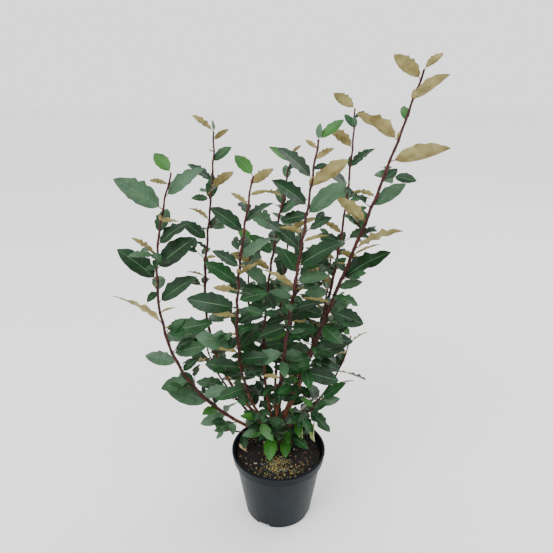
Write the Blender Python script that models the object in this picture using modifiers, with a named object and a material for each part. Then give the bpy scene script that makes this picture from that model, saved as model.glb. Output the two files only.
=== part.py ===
"""Compact silverberry, a young evergreen shrub in a round nursery pot.

The pot, its soil, the short trunk, the boughs and the leafy tops of the shoots
are separate solids. Everything is in metres, with +Z up and the origin at the
middle of the pot's flat underside. The plant is seen from the front along +Y.
"""
import math
import random
from bisect import bisect_left
from collections import namedtuple

import bmesh
import bpy
from mathutils import Matrix, Vector
from mathutils.bvhtree import BVHTree

CM = 0.01
MM = 0.001
GAP = 0.3 * MM
TRUNK_CLEARANCE = GAP * 1.4
BOUGH_CLEARANCE = GAP * 1.6

# Pot: a two litre container with a straight collar under its lip
POT_HEIGHT = 0.135
RIM_RADIUS = 0.085
LIP_WIDTH = 0.004
LIP_HEIGHT = 0.0035
COLLAR_RADIUS = 0.0835
COLLAR_DEPTH = 0.0175
BODY_TOP_RADIUS = 0.0785
BASE_RADIUS = 0.061
WALL = 0.0022
FLOOR = 0.003
POT_STEPS = 36
BAND_SLOPE = 0.004
LIP_EASE = 0.0008
LIP_ROUND = 0.0012
COLLAR_DRAFT = 0.0005
FOOT_ROUND = 0.0015
NOTCH_COUNT = 4
NOTCH_FIRST = math.radians(-116)
NOTCH_WIDTH = 0.022
NOTCH_HEIGHT = 0.0055
NOTCH_DEPTH = 0.012

# Soil: level round the trunk, a little lower along the wall
SOIL_TOP = 0.127
SOIL_EDGE = 0.1235
SOIL_LEVEL_RADIUS = 0.048
SOIL_STEPS = 32
SOIL_SHOULDER = 0.004
SOIL_RIM_RISE = 0.001

# Trunk: a short stool with a root flare, which forks just above the soil
TRUNK_FOOT = (-0.3 * CM, 2.4 * CM)
TRUNK_HEAD = (-0.6 * CM, 2.2 * CM)
TRUNK_HEIGHT = 3.6 * CM
TRUNK_RADII = (12 * MM, 8.5 * MM, 7 * MM, 7.5 * MM, 8.5 * MM, 6 * MM)
TRUNK_LEVELS = (0.0, 0.12, 0.32, 0.6, 0.86, 1.0)
TRUNK_SIDES = 10
FLARE_LOBES = 4
FLARE_DEPTH = 0.16
FOOT_REACH = 1.3
FOOT_FLAT = 2 * MM

# Leaf: shares of the length, each with its share of the half width
LEAF_OUTLINE = ((0.0, 0.0), (0.3, 0.9), (0.74, 0.78), (1.0, 0.0))
LEAF_BELLY = 0.5
LEAF_WIDTH = 0.44
LEAF_THICKNESS = 0.024
LEAF_FOLD = 0.3
LEAF_DROOP = 0.16
LEAF_LEVEL = 0.75
YOUNG_FOLD_SHARE = 0.5
RISE = {"+": 38.0, "": 16.0, "-": -18.0}
ROLL_UPPER = 36.0
ROLL_UNDER = -50.0
BEARING = {"E": 0, "NE": 45, "N": 90, "NW": 135, "W": 180, "SW": 225, "S": 270, "SE": 315}
TURN = 144.0

# Spiral of a rear shoot: length in centimetres and rise in degrees, both from foot to tip
SPIRAL_LENGTH = (5.0, 7.4)
SPIRAL_TAPER = 0.45
SPIRAL_FIRST_RISE = -10.0
SPIRAL_RISE_GAIN = 48.0
SPIRAL_SWAY = 8.0
SPIRAL_FACES = (1, 1, -1)
YOUNG_SHARE = 0.9

# How much one leaf differs from its plan, in degrees and as a share of its length
SWAY_BEARING = 9
SWAY_RISE = 5
SWAY_ROLL = 10
SWAY_LENGTH = (0.95, 1.06)
NODE_STEPS = 200
FIRST_NODE = 0.7

# Twigs: short side shoots in some leaf axils, each with two small leaves
SPUR_CHANCE = 0.1
SPUR_LENGTH = (1.2 * CM, 2.6 * CM)
SPUR_RADII = (1.1 * MM, 0.8 * MM)
SPUR_LEAF = (2.4 * CM, 3.8 * CM)
SPUR_SWING = 50
SPUR_RISE = (30, 58)
SPUR_LEAF_SPREAD = 70
SPUR_LEAF_RISE = (0, 40)
SPUR_LEAF_PLACES = (0.55, 0.88)
SPUR_FREE_TIP = 4
ZIGZAG = 1.3 * MM
STEM_SIDES = 3
BOUGH_SIDES = 6
BOUGH_RINGS = 8

# Turns in degrees, and shares of the length, that a leaf tries before it is left out
LEAF_TRIES = (
    (0, 0, 1.0), (12, 4, 1.0), (-12, 4, 1.0), (0, 14, 0.97), (0, -14, 0.97), (24, 8, 0.94),
    (-24, 8, 0.94), (18, 22, 0.9), (-18, 22, 0.9), (36, -8, 0.86), (-36, -8, 0.86), (0, 30, 0.82),
    (56, 10, 0.78), (-56, 10, 0.78),
)
LEAF_CLEARANCE = 1.04

# A shoot's route is a cubic curve in centimetres: its foot, two shaping points and its tip.
# Its bough is the bare part up to the split, and its leaf plan runs from there to the tip.
# A leaf is its compass bearing (N is away from the front), its length in centimetres, and
# + or - where it rises or hangs. Small letters turn its underside to the front, ! is a young
# leaf and a dot is a bare node. A number instead of a plan is a count of leaves in a spiral.
Shoot = namedtuple("Shoot", "name route split foot_radius tip_radius leaves")
SHOOTS = (
    Shoot("tall_right", ((-0.1, 2.0, 15.5), (6.0, 1.0, 35.5), (13.5, -1.0, 56.0), (19.5, -1.5, 78.5)),
          0.18, 3.8, 1.1,
          "SW4! E7- S5- W5 E6 s3- E7- W5 SE5- W6 E6- w5 E4- E4 E9+ N4 w2 e5 e8 E3- N5+ w6+ . E6+ w4 "
          ". . . e8 . w7+ . N3+! . e6+ . w5+ e3+"),
    Shoot("front_middle", ((-0.6, 1.8, 15.8), (0.5, -0.5, 35.0), (3.5, -4.0, 53.5), (5.0, -9.5, 70.5)),
          0.17, 3.2, 1.0,
          "S4- w3 E5 . S4- W6- N4 E4 W4-! W5- N5 E5 S4 W4 w6+ E5 NW5+ E7+ N4+ W7+ e4 w4 . E7+ W6+ . "
          "e6+ W6+ E2 e3+ w2+ E4+!"),
    Shoot("far_left", ((-0.8, 2.0, 14.4), (-22.5, 1.0, 23.0), (-22.0, 0.0, 46.0), (-15.5, -2.0, 64.5)),
          0.13, 3.2, 1.0,
          "W5- SW4! W8 E5 NW5 W5- E4+ W6 E6 N4 E8 w9+ e3 E8+ N5 W8+ E8+ w5+ E6+ N5+ se4 W8+ E7+ w3 "
          "NW4+!"),
    Shoot("front_left", ((-1.0, 2.0, 15.8), (-10.5, 0.5, 26.5), (-6.0, -3.0, 53.0), (-3.5, -6.0, 65.0)),
          0.22, 2.8, 1.0,
          "W6- w3 E4 W6 E5 w5 W7 N4 E3 E6+ w4 W8 E5 w4 W6+ e4+ W5+ E6+ . . W6+ E5+ N4 w3+ e3 e4+ "
          "NW4+!"),
    Shoot("back_left", ((-1.0, 2.4, 15.6), (-19.5, 4.0, 32.5), (-10.5, 6.5, 49.5), (-10.5, 10.0, 68.5)),
          0.3, 2.8, 1.0,
          "w4 W6- W7- E4 . E3+ . N3 w3 E3- e2 W2+ W5+ E5+ w4+ . N5+ e5+ W5+ . E4+ w1 e3+ w4+"),
    Shoot("back_middle", ((-0.8, 2.7, 15.8), (-5.0, 3.5, 32.5), (-1.0, 5.0, 49.5), (2.0, 7.0, 65.5)),
          0.28, 2.7, 1.0,
          "W5 E5 N5 W6- E4 W5 N4 E5 W5 W6+ e5- w4+ E5 W5+ N5 s3 W6+ E5 E4+ N4+ w4 e2 N3+ E2+ W4+! "
          "e2+"),
    Shoot("back_right", ((0.0, 2.5, 15.4), (8.5, 4.5, 33.0), (11.5, 7.0, 53.0), (12.0, 10.0, 72.0)),
          0.24, 2.9, 1.0,
          "E6- W5 N5 E6 w5 S5- E5 W5 w6 w7+ N4 W5 w5 e4- W4 w4+ . e2 N5+ . W6+ . E5+ . w5+ . NW3+ "
          "E2+ w4+"),
    Shoot("rear_middle", ((-0.6, 2.8, 15.6), (-1.0, 6.5, 28.0), (0.5, 9.5, 40.0), (2.0, 14.0, 51.5)),
          0.24, 2.6, 1.0,
          "W5 N5 E5 n4 W6 E6 N5 W5+ e5 N5+ E5+ W5+ N4+ e4+ W4+"),
    Shoot("rear_left", ((-0.8, 2.7, 15.0), (-4.0, 8.0, 25.0), (-7.0, 12.0, 36.0), (-5.0, 16.0, 47.0)),
          0.24, 2.5, 1.0, 15),
    Shoot("rear_tall", ((-0.3, 2.7, 15.2), (1.0, 10.0, 25.0), (4.0, 15.0, 37.0), (4.0, 18.0, 50.0)),
          0.24, 2.5, 1.0, 16),
    Shoot("rear_right", ((0.0, 2.6, 15.0), (5.0, 7.0, 24.0), (9.5, 12.0, 34.0), (9.5, 14.5, 46.0)),
          0.24, 2.5, 1.0, 15),
    Shoot("low_rear_left", ((-0.7, 2.5, 14.3), (-6.0, 6.0, 17.0), (-12.0, 8.0, 21.0), (-14.0, 10.0, 31.0)),
          0.2, 2.2, 1.0, 11),
    Shoot("low_rear_right", ((-0.2, 2.5, 14.3), (6.0, 6.0, 17.0), (11.5, 8.0, 21.0), (13.5, 10.0, 31.0)),
          0.2, 2.2, 1.0, 11),
    Shoot("low_front", ((-0.5, 1.9, 14.5), (-1.2, 0.0, 15.6), (-2.8, -0.4, 17.5), (-3.6, -0.6, 20.4)),
          0.0, 1.5, 1.0,
          ". S5-! . W4-! . SE4-! W3!"),
    Shoot("low_left", ((-0.6, 2.2, 13.8), (-4.0, 1.5, 14.9), (-6.5, 1.0, 16.0), (-9.8, 0.0, 17.3)),
          0.0, 1.5, 1.0,
          ". . N3+ E2+ S3- . W3 SW2-"),
    Shoot("low_right", ((-0.2, 2.0, 14.6), (2.4, 0.0, 17.6), (4.8, 0.2, 20.4), (7.6, 0.4, 23.6)),
          0.0, 1.7, 1.0,
          ". . S3-! N4+ . S3-! W3+! S4- SE5- W3+! E4 E5+"),
    Shoot("low_sprig", ((-0.2, 2.2, 13.9), (1.0, 1.0, 14.6), (2.2, 0.4, 15.2), (3.4, 0.0, 15.8)),
          0.0, 1.4, 1.0,
          ". . S4-! E4+ SE4 NE3+"),
)

FOLIAGE_GREEN = (0.035, 0.095, 0.045, 1.0)
BARK_BROWN = (0.10, 0.045, 0.030, 1.0)


def clear_scene():
    for obj in list(bpy.data.objects):
        bpy.data.objects.remove(obj, do_unlink=True)


def new_collection(name):
    collection = bpy.data.collections.new(name)
    bpy.context.scene.collection.children.link(collection)
    return collection


def material(name, color, roughness):
    mat = bpy.data.materials.new(name)
    mat.use_nodes = True
    shader = mat.node_tree.nodes["Principled BSDF"]
    shader.inputs["Base Color"].default_value = color
    shader.inputs["Roughness"].default_value = roughness
    mat.diffuse_color = color
    return mat


def evaluated_mesh(obj):
    """The mesh that the object's modifiers or curve give, as plain data."""
    bpy.context.view_layer.update()
    graph = bpy.context.evaluated_depsgraph_get()
    return bpy.data.meshes.new_from_object(obj.evaluated_get(graph))


def outward(bm):
    """Turns the faces of a closed mesh out."""
    bmesh.ops.recalc_face_normals(bm, faces=bm.faces)
    if bm.calc_volume(signed=True) < 0.0:
        bmesh.ops.reverse_faces(bm, faces=bm.faces)


def object_from(bm, name, collection, origin=(0.0, 0.0, 0.0)):
    """An object whose origin is at the given point, and whose mesh is the bmesh."""
    bm.transform(Matrix.Translation(-Vector(origin)))
    mesh = bpy.data.meshes.new(name)
    bm.to_mesh(mesh)
    bm.free()
    obj = bpy.data.objects.new(name, mesh)
    obj.location = origin
    collection.objects.link(obj)
    return obj


def world_bmesh(obj):
    bm = bmesh.new()
    bm.from_mesh(obj.data)
    bm.transform(Matrix.Translation(obj.location))
    return bm


def tree_of(bm):
    return BVHTree.FromBMesh(bm, epsilon=0.0)


# Pot and soil

def turned(name, profile, steps, collection):
    """A closed turned body from a profile that runs down its outer side."""
    mesh = bpy.data.meshes.new(name)
    points = [(radius, 0.0, height) for radius, height in profile]
    edges = [(i, i + 1) for i in range(len(points) - 1)]
    mesh.from_pydata(points, edges, [])
    obj = bpy.data.objects.new(name, mesh)
    collection.objects.link(obj)
    screw = obj.modifiers.new("turn", "SCREW")
    screw.steps = steps
    screw.render_steps = steps
    screw.use_merge_vertices = True
    screw.merge_threshold = 0.0001
    return obj


def inner_radius(height):
    """Radius of the pot's inner wall, which follows the tapered body."""
    share = (height - FLOOR) / (POT_HEIGHT - COLLAR_DEPTH - FLOOR)
    return BASE_RADIUS - WALL + (BODY_TOP_RADIUS - BASE_RADIUS) * min(share, 1.0)


def pot_profile():
    band_foot = POT_HEIGHT - COLLAR_DEPTH
    lip_inner = RIM_RADIUS - LIP_WIDTH
    return (
        (0.0, FLOOR),
        (inner_radius(FLOOR), FLOOR),
        (BODY_TOP_RADIUS - WALL, band_foot),
        (COLLAR_RADIUS - WALL, band_foot + BAND_SLOPE),
        (lip_inner, POT_HEIGHT - LIP_EASE),
        (lip_inner + LIP_ROUND, POT_HEIGHT),
        (RIM_RADIUS - LIP_EASE, POT_HEIGHT),
        (RIM_RADIUS, POT_HEIGHT - LIP_ROUND),
        (RIM_RADIUS, POT_HEIGHT - LIP_HEIGHT),
        (COLLAR_RADIUS, POT_HEIGHT - LIP_HEIGHT - LIP_ROUND),
        (COLLAR_RADIUS - COLLAR_DRAFT, band_foot),
        (BODY_TOP_RADIUS, band_foot - FOOT_ROUND),
        (BASE_RADIUS, FOOT_ROUND),
        (BASE_RADIUS - FOOT_ROUND, 0.0),
        (0.0, 0.0),
    )


def build_pot(parts, cutters):
    pot = turned("pot", pot_profile(), POT_STEPS, parts)
    pot.data.materials.append(material("black_polypropylene", (0.012, 0.018, 0.022, 1.0), 0.42))
    for index in range(NOTCH_COUNT):
        angle = NOTCH_FIRST + index * 2.0 * math.pi / NOTCH_COUNT
        bm = bmesh.new()
        bmesh.ops.create_cube(bm, size=1.0)
        size = Vector((NOTCH_DEPTH * 2.0, NOTCH_WIDTH, NOTCH_HEIGHT * 2.0))
        bmesh.ops.scale(bm, vec=size, verts=bm.verts)
        cutter = object_from(bm, f"drain_notch_{index}", cutters)
        cutter.location = (BASE_RADIUS * math.cos(angle), BASE_RADIUS * math.sin(angle), 0.0)
        cutter.rotation_euler = (0.0, 0.0, angle)
        cutter.hide_render = True
        cutter.display_type = "WIRE"
        cut = pot.modifiers.new(f"notch_{index}", "BOOLEAN")
        cut.operation = "DIFFERENCE"
        cut.object = cutter
        cut.solver = "EXACT"
    return pot


def build_soil(parts):
    wall = inner_radius(SOIL_EDGE) - GAP
    profile = (
        (0.0, SOIL_TOP),
        (SOIL_LEVEL_RADIUS, SOIL_TOP),
        (wall - SOIL_SHOULDER, SOIL_EDGE + SOIL_RIM_RISE),
        (wall, SOIL_EDGE),
        (inner_radius(POT_HEIGHT - COLLAR_DEPTH) - GAP, POT_HEIGHT - COLLAR_DEPTH),
        (inner_radius(FLOOR) - GAP, FLOOR + GAP),
        (0.0, FLOOR + GAP),
    )
    soil = turned("soil", profile, SOIL_STEPS, parts)
    soil.data.materials.append(material("peat_mix", (0.012, 0.009, 0.007, 1.0), 0.95))
    return soil


# Stems

def along(route, t):
    """Point at share t of a cubic curve."""
    a, b, c, d = route
    s = 1.0 - t
    return a * s ** 3 + b * (3 * s * s * t) + c * (3 * s * t * t) + d * t ** 3


def heading(route, t):
    step = 0.01
    return (along(route, min(t + step, 1.0)) - along(route, max(t - step, 0.0))).normalized()


def metres(route):
    return tuple(Vector(point) * CM for point in route)


def section(sides):
    """Closed outline of unit radius that stems are swept with."""
    data = bpy.data.curves.new("section", "CURVE")
    spline = data.splines.new("POLY")
    spline.points.add(sides - 1)
    spline.use_cyclic_u = True
    for index, point in enumerate(spline.points):
        angle = 2.0 * math.pi * index / sides
        point.co = (math.cos(angle), math.sin(angle), 0.0, 1.0)
    obj = bpy.data.objects.new("section", data)
    bpy.context.scene.collection.objects.link(obj)
    return obj


def sweep(points, radii, sides):
    """Closed tapering tube along the points, as a bmesh in world space."""
    outline = section(sides)
    data = bpy.data.curves.new("sweep", "CURVE")
    data.dimensions = "3D"
    data.bevel_mode = "OBJECT"
    data.bevel_object = outline
    data.use_fill_caps = True
    spline = data.splines.new("POLY")
    spline.points.add(len(points) - 1)
    for point, place, radius in zip(spline.points, points, radii):
        point.co = (*place, 1.0)
        point.radius = radius
    tube = bpy.data.objects.new("sweep", data)
    bpy.context.scene.collection.objects.link(tube)
    mesh = evaluated_mesh(tube)
    bm = bmesh.new()
    bm.from_mesh(mesh)
    bmesh.ops.remove_doubles(bm, verts=bm.verts, dist=0.00001)
    outward(bm)
    bpy.data.objects.remove(tube, do_unlink=True)
    bpy.data.objects.remove(outline, do_unlink=True)
    bpy.data.meshes.remove(mesh)
    return bm


def build_trunk(parts):
    foot = Vector((*TRUNK_FOOT, SOIL_TOP + GAP))
    head = Vector((*TRUNK_HEAD, SOIL_TOP + TRUNK_HEIGHT))
    points = [foot.lerp(head, level) for level in TRUNK_LEVELS]
    bm = sweep(points, TRUNK_RADII, TRUNK_SIDES)
    flare_top = foot.z + TRUNK_HEIGHT * TRUNK_LEVELS[2]
    for vert in bm.verts:
        axis = foot.lerp(head, (vert.co.z - foot.z) / TRUNK_HEIGHT)
        offset = Vector((vert.co.x - axis.x, vert.co.y - axis.y, 0.0))
        share = max(0.0, (flare_top - vert.co.z) / (flare_top - foot.z))
        lobes = math.cos(FLARE_LOBES * math.atan2(offset.y, offset.x))
        vert.co += offset * (FLARE_DEPTH * lobes * share)
        if (vert.co - foot).length < TRUNK_RADII[0] * FOOT_REACH and vert.co.z < foot.z + FOOT_FLAT:
            vert.co.z = foot.z
    outward(bm)
    trunk = object_from(bm, "trunk", parts, foot)
    trunk.data.materials.append(material("old_bark", BARK_BROWN, 0.85))
    return trunk


def stem_radius(shoot, t):
    return (shoot.foot_radius + (shoot.tip_radius - shoot.foot_radius) * t) * MM


def largest_island(bm):
    """Drops every loose scrap but the largest piece whose faces share edges."""
    left = set(bm.faces)
    best = set()
    while left:
        island = set()
        front = [left.pop()]
        while front:
            face = front.pop()
            island.add(face)
            for edge in face.edges:
                for other in edge.link_faces:
                    if other in left:
                        left.remove(other)
                        front.append(other)
        if len(island) > len(best):
            best = island
    scrap = [face for face in bm.faces if face not in best]
    bmesh.ops.delete(bm, geom=scrap, context="FACES")


def cut_clear(bm, keep_outs):
    """Cuts a tube clear of the fatter copies of what it starts on."""
    shape = object_from(bm, "shape", bpy.context.scene.collection)
    for fat in keep_outs:
        cutter = object_from(fat, "keep_out", bpy.context.scene.collection)
        cut = shape.modifiers.new("clear", "BOOLEAN")
        cut.operation = "DIFFERENCE"
        cut.object = cutter
        cut.solver = "EXACT"
        mesh = evaluated_mesh(shape)
        shape.modifiers.remove(cut)
        shape.data = mesh
        bpy.data.objects.remove(cutter, do_unlink=True)
    result = bmesh.new()
    result.from_mesh(shape.data)
    bpy.data.objects.remove(shape, do_unlink=True)
    largest_island(result)
    outward(result)
    return result


def bough_tube(shoot, extra=0.0):
    route = metres(shoot.route)
    shares = [shoot.split * i / (BOUGH_RINGS - 1) for i in range(BOUGH_RINGS)]
    radii = [stem_radius(shoot, t) + extra for t in shares]
    return sweep([along(route, t) for t in shares], radii, BOUGH_SIDES)


def trunk_tube(trunk):
    """The trunk a little fatter, for cutting the boughs' feet clear of it."""
    bm = world_bmesh(trunk)
    bm.normal_update()
    for vert in bm.verts:
        vert.co += vert.normal * TRUNK_CLEARANCE
    return bm


def fat_boughs_at(bm, boughs):
    """Fatter copies of the boughs that a tube runs into."""
    tree = tree_of(bm)
    found = []
    for shoot in boughs:
        fat = bough_tube(shoot, BOUGH_CLEARANCE)
        if tree.overlap(tree_of(fat)):
            found.append(fat)
        else:
            fat.free()
    return found


def build_boughs(parts, trunk):
    """Every bare bough, from the trunk's head to where its leaves begin."""
    boughs = {}
    for shoot in SHOOTS:
        if shoot.split == 0.0:
            continue
        bm = bough_tube(shoot)
        bm = cut_clear(bm, [trunk_tube(trunk)] + fat_boughs_at(bm, boughs))
        bough = object_from(bm, "bough_" + shoot.name, parts, metres(shoot.route)[0])
        bough.data.materials.append(material("bark_" + shoot.name, BARK_BROWN, 0.75))
        boughs[shoot] = bough
    return boughs


# Leaves and twigs

Leaf = namedtuple("Leaf", "root bearing rise roll length young")


def leaf_bmesh(leaf, swell=1.0):
    """A thin folded blade with six points round its edge, the first at its stalk."""
    bm = bmesh.new()
    bmesh.ops.create_uvsphere(bm, u_segments=6, v_segments=2, radius=1.0)
    half_width = leaf.length * LEAF_WIDTH / 2.0
    thickness = leaf.length * LEAF_THICKNESS * (3.0 * swell - 2.0) ** 2
    fold = LEAF_FOLD * (YOUNG_FOLD_SHARE if leaf.young else 1.0)
    for vert in bm.verts:
        if abs(vert.co.z) > 0.5:
            share = LEAF_BELLY
            side = 0.0
            lift = math.copysign(thickness / 2.0, vert.co.z)
        else:
            step = round(math.degrees(math.atan2(vert.co.y, vert.co.x)) / 60.0)
            share, width = LEAF_OUTLINE[3 - abs(step)]
            side = math.copysign(width, step) * half_width * swell
            lift = abs(side) * fold
        sag = LEAF_DROOP * leaf.length * (share * share - share * LEAF_LEVEL)
        vert.co = (share * leaf.length * swell, side, lift - sag)
    bm.transform(leaf_matrix(leaf))
    return bm


def leaf_matrix(leaf):
    bearing = math.radians(leaf.bearing)
    rise = math.radians(leaf.rise)
    roll = math.radians(leaf.roll)
    axis = Vector((math.cos(rise) * math.cos(bearing), math.cos(rise) * math.sin(bearing), math.sin(rise)))
    level = Vector((-math.sin(bearing), math.cos(bearing), 0.0))
    upper = axis.cross(level)
    side = level * math.cos(roll) + upper * math.sin(roll)
    normal = upper * math.cos(roll) - level * math.sin(roll)
    turn = Matrix((axis, side, normal)).transposed().to_4x4()
    return Matrix.Translation(leaf.root) @ turn


def read_plan(leaves, rng):
    """Leaf plan as a list of (bearing, length, rise, face, young), or None at a bare node."""
    plan = []
    if isinstance(leaves, int):
        first = rng.uniform(0.0, 360.0)
        for index in range(leaves):
            share = index / leaves
            length = rng.uniform(*SPIRAL_LENGTH) * (1.0 - SPIRAL_TAPER * share ** 3)
            rise = SPIRAL_FIRST_RISE + SPIRAL_RISE_GAIN * share + rng.uniform(-SPIRAL_SWAY, SPIRAL_SWAY)
            face = rng.choice(SPIRAL_FACES)
            plan.append((first + TURN * index, length, rise, face, share > YOUNG_SHARE))
        return plan
    for word in leaves.split():
        if word == ".":
            plan.append(None)
            continue
        young = word.endswith("!")
        word = word.rstrip("!")
        slope = word[-1] if word[-1] in "+-" else ""
        word = word.rstrip("+-")
        name = word.rstrip("0123456789")
        length = float(word[len(name):])
        face = 1 if name.isupper() else -1
        plan.append((BEARING[name.upper()], length, RISE[slope], face, young))
    return plan


def roll_for(bearing, face):
    """Roll that turns the upper side, or the underside, to the front."""
    amount = ROLL_UPPER if face > 0 else ROLL_UNDER
    return amount * math.cos(math.radians(bearing))


def try_leaf(leaf, owner, spur, solids):
    """The leaf, turned a little where it has to be to touch nothing, or None."""
    for strict in (True, False):
        for turn, lift, share in LEAF_TRIES:
            trial = leaf._replace(bearing=leaf.bearing + turn, rise=leaf.rise + lift,
                                  length=leaf.length * share)
            bm = leaf_bmesh(trial, LEAF_CLEARANCE)
            tree = tree_of(bm)
            low = Vector(min(v.co[i] for v in bm.verts) for i in range(3))
            high = Vector(max(v.co[i] for v in bm.verts) for i in range(3))
            bm.free()
            if not touches(tree, low, high, owner, spur, solids, strict):
                return trial
    return None


def touches(tree, low, high, owner, spur, solids, strict):
    for other_owner, other_spur, other_tree, other_low, other_high in solids:
        if other_owner == owner and (not strict or other_spur is None or other_spur == spur):
            continue
        if any(low[i] > other_high[i] or high[i] < other_low[i] for i in range(3)):
            continue
        if tree.overlap(other_tree):
            return True
    return False


def add_solid(solids, owner, spur, bm):
    low = Vector(min(v.co[i] for v in bm.verts) for i in range(3))
    high = Vector(max(v.co[i] for v in bm.verts) for i in range(3))
    solids.append((owner, spur, tree_of(bm), low, high))


def even_shares(route, start, count):
    """Shares of the curve at evenly spaced nodes from the start to the tip."""
    shares = [start + (1.0 - start) * i / NODE_STEPS for i in range(NODE_STEPS + 1)]
    lengths = [0.0]
    for low, high in zip(shares, shares[1:]):
        lengths.append(lengths[-1] + (along(route, high) - along(route, low)).length)
    last = count - 1 + FIRST_NODE
    wanted = [lengths[-1] * (index + FIRST_NODE) / last for index in range(count)]
    return [shares[min(bisect_left(lengths, length), NODE_STEPS)] for length in wanted]


def stem_points(shoot, plan):
    """Leaf nodes along the leafy part of a shoot, each set a little off to the side."""
    route = metres(shoot.route)
    count = len(plan)
    points = []
    for index, (entry, share) in enumerate(zip(plan, even_shares(route, shoot.split, count))):
        place = along(route, share)
        if entry is not None and index < count - 1:
            bearing = math.radians(entry[0])
            place -= Vector((math.cos(bearing), math.sin(bearing), 0.0)) * ZIGZAG
        points.append((share, place))
    return points


def leafy_stem(shoot, nodes, trunk, boughs):
    """The stem inside a mass of leaves, clear of its bough's tip or of the trunk."""
    route = metres(shoot.route)
    first = along(route, shoot.split) + heading(route, shoot.split) * GAP
    points = [first] + [place for _, place in nodes]
    radii = [stem_radius(shoot, shoot.split)] + [stem_radius(shoot, share) for share, _ in nodes]
    bm = sweep(points, radii, STEM_SIDES)
    if shoot.split == 0.0:
        bm = cut_clear(bm, [trunk_tube(trunk)] + fat_boughs_at(bm, boughs))
    return bm


def spur_bmesh(root, direction, length):
    bm = bmesh.new()
    bmesh.ops.create_cone(bm, cap_ends=True, segments=3, radius1=SPUR_RADII[0],
                          radius2=SPUR_RADII[1], depth=length)
    bm.transform(Matrix.Translation((0.0, 0.0, length / 2.0)))
    turn = Vector((0.0, 0.0, 1.0)).rotation_difference(direction).to_matrix().to_4x4()
    bm.transform(Matrix.Translation(root) @ turn)
    return bm


def leaf_jitter(rng):
    """Small random changes of a leaf's bearing, rise, roll and length."""
    return (rng.uniform(-SWAY_BEARING, SWAY_BEARING), rng.uniform(-SWAY_RISE, SWAY_RISE),
            rng.uniform(-SWAY_ROLL, SWAY_ROLL), rng.uniform(*SWAY_LENGTH))


def spur_draws(rng):
    """Chance, length, swing and rise of a twig, and its two leaves' lengths, spreads and rises."""
    draw = (rng.random(), rng.uniform(*SPUR_LENGTH), rng.uniform(-SPUR_SWING, SPUR_SWING),
            rng.uniform(*SPUR_RISE))
    small = [(rng.uniform(*SPUR_LEAF), rng.uniform(-SPUR_LEAF_SPREAD, SPUR_LEAF_SPREAD),
              rng.uniform(*SPUR_LEAF_RISE)) for _ in SPUR_LEAF_PLACES]
    return draw, small


def grow(shoot, nodes, plan, rng, solids):
    """Leaves and spurs of one mass, as a list of bmeshes."""
    pieces = []
    owner = shoot.name
    for index, (entry, (_, place)) in enumerate(zip(plan, nodes)):
        jitter = leaf_jitter(rng)
        spur_draw, small = spur_draws(rng)
        if entry is None:
            continue
        bearing, length, rise, face, young = entry
        leaf = Leaf(place, bearing + jitter[0], rise + jitter[1], roll_for(bearing, face) + jitter[2],
                    length * CM * jitter[3], young)
        placed = try_leaf(leaf, owner, index, solids)
        if placed is not None:
            bm = leaf_bmesh(placed)
            add_solid(solids, owner, index, bm)
            pieces.append(bm)
        if spur_draw[0] > SPUR_CHANCE or index > len(plan) - SPUR_FREE_TIP:
            continue
        pieces += grow_spur(owner, index, place, bearing, spur_draw, small, solids)
    return pieces


def grow_spur(owner, index, place, bearing, draw, small, solids):
    """A short twig above a leaf, with its small leaves, or nothing where it has no room."""
    _, length, swing, rise = draw
    side = math.radians(bearing + swing)
    up = math.radians(rise)
    direction = Vector((math.cos(up) * math.cos(side), math.cos(up) * math.sin(side), math.sin(up)))
    leaves = []
    for share, (size, spread, lift) in zip(SPUR_LEAF_PLACES, small):
        root = place + direction * length * share
        leaf = Leaf(root, bearing + swing + spread, lift, roll_for(bearing + spread, 1), size, False)
        placed = try_leaf(leaf, owner, ("spur", index), solids)
        if placed is not None:
            leaves.append(placed)
    twig = spur_bmesh(place, direction, length)
    low = Vector(min(v.co[i] for v in twig.verts) for i in range(3))
    high = Vector(max(v.co[i] for v in twig.verts) for i in range(3))
    if not leaves or touches(tree_of(twig), low, high, owner, index, solids, False):
        twig.free()
        return []
    pieces = [twig]
    add_solid(solids, owner, ("spur", index), twig)
    for leaf in leaves:
        bm = leaf_bmesh(leaf)
        add_solid(solids, owner, ("spur", index), bm)
        pieces.append(bm)
    return pieces


def fuse(stem, pieces, name, parts, origin):
    """One Boolean union of the stem with its twigs and leaves."""
    body = object_from(stem, name, parts, origin)
    group = new_collection("pieces")
    for number, piece in enumerate(pieces):
        object_from(piece, f"piece_{number}", group)
    union = body.modifiers.new("fuse", "BOOLEAN")
    union.operation = "UNION"
    union.operand_type = "COLLECTION"
    union.collection = group
    union.solver = "EXACT"
    mesh = evaluated_mesh(body)
    body.modifiers.remove(union)
    for obj in list(group.objects):
        bpy.data.objects.remove(obj, do_unlink=True)
    bpy.data.collections.remove(group)
    bm = bmesh.new()
    bm.from_mesh(mesh)
    bmesh.ops.remove_doubles(bm, verts=bm.verts, dist=0.000005)
    largest_island(bm)
    bm.to_mesh(body.data)
    bm.free()
    bpy.data.meshes.remove(mesh)
    body.data.materials.append(material("leaf_" + name, FOLIAGE_GREEN, 0.45))
    return body


def build_foliage(parts, fixed, trunk, boughs):
    """Every leafy mass, grown one after another round what already stands."""
    solids = []
    for obj in fixed:
        bm = world_bmesh(obj)
        add_solid(solids, obj.name, None, bm)
        bm.free()
    stems = []
    for shoot in SHOOTS:
        rng = random.Random(shoot.name)
        plan = read_plan(shoot.leaves, rng)
        nodes = stem_points(shoot, plan)
        stem = leafy_stem(shoot, nodes, trunk, boughs)
        add_solid(solids, shoot.name, None, stem)
        stems.append((shoot, rng, plan, nodes, stem))
    for shoot, rng, plan, nodes, stem in stems:
        pieces = grow(shoot, nodes, plan, rng, solids)
        fuse(stem, pieces, "foliage_" + shoot.name, parts, metres(shoot.route)[0])


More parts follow.
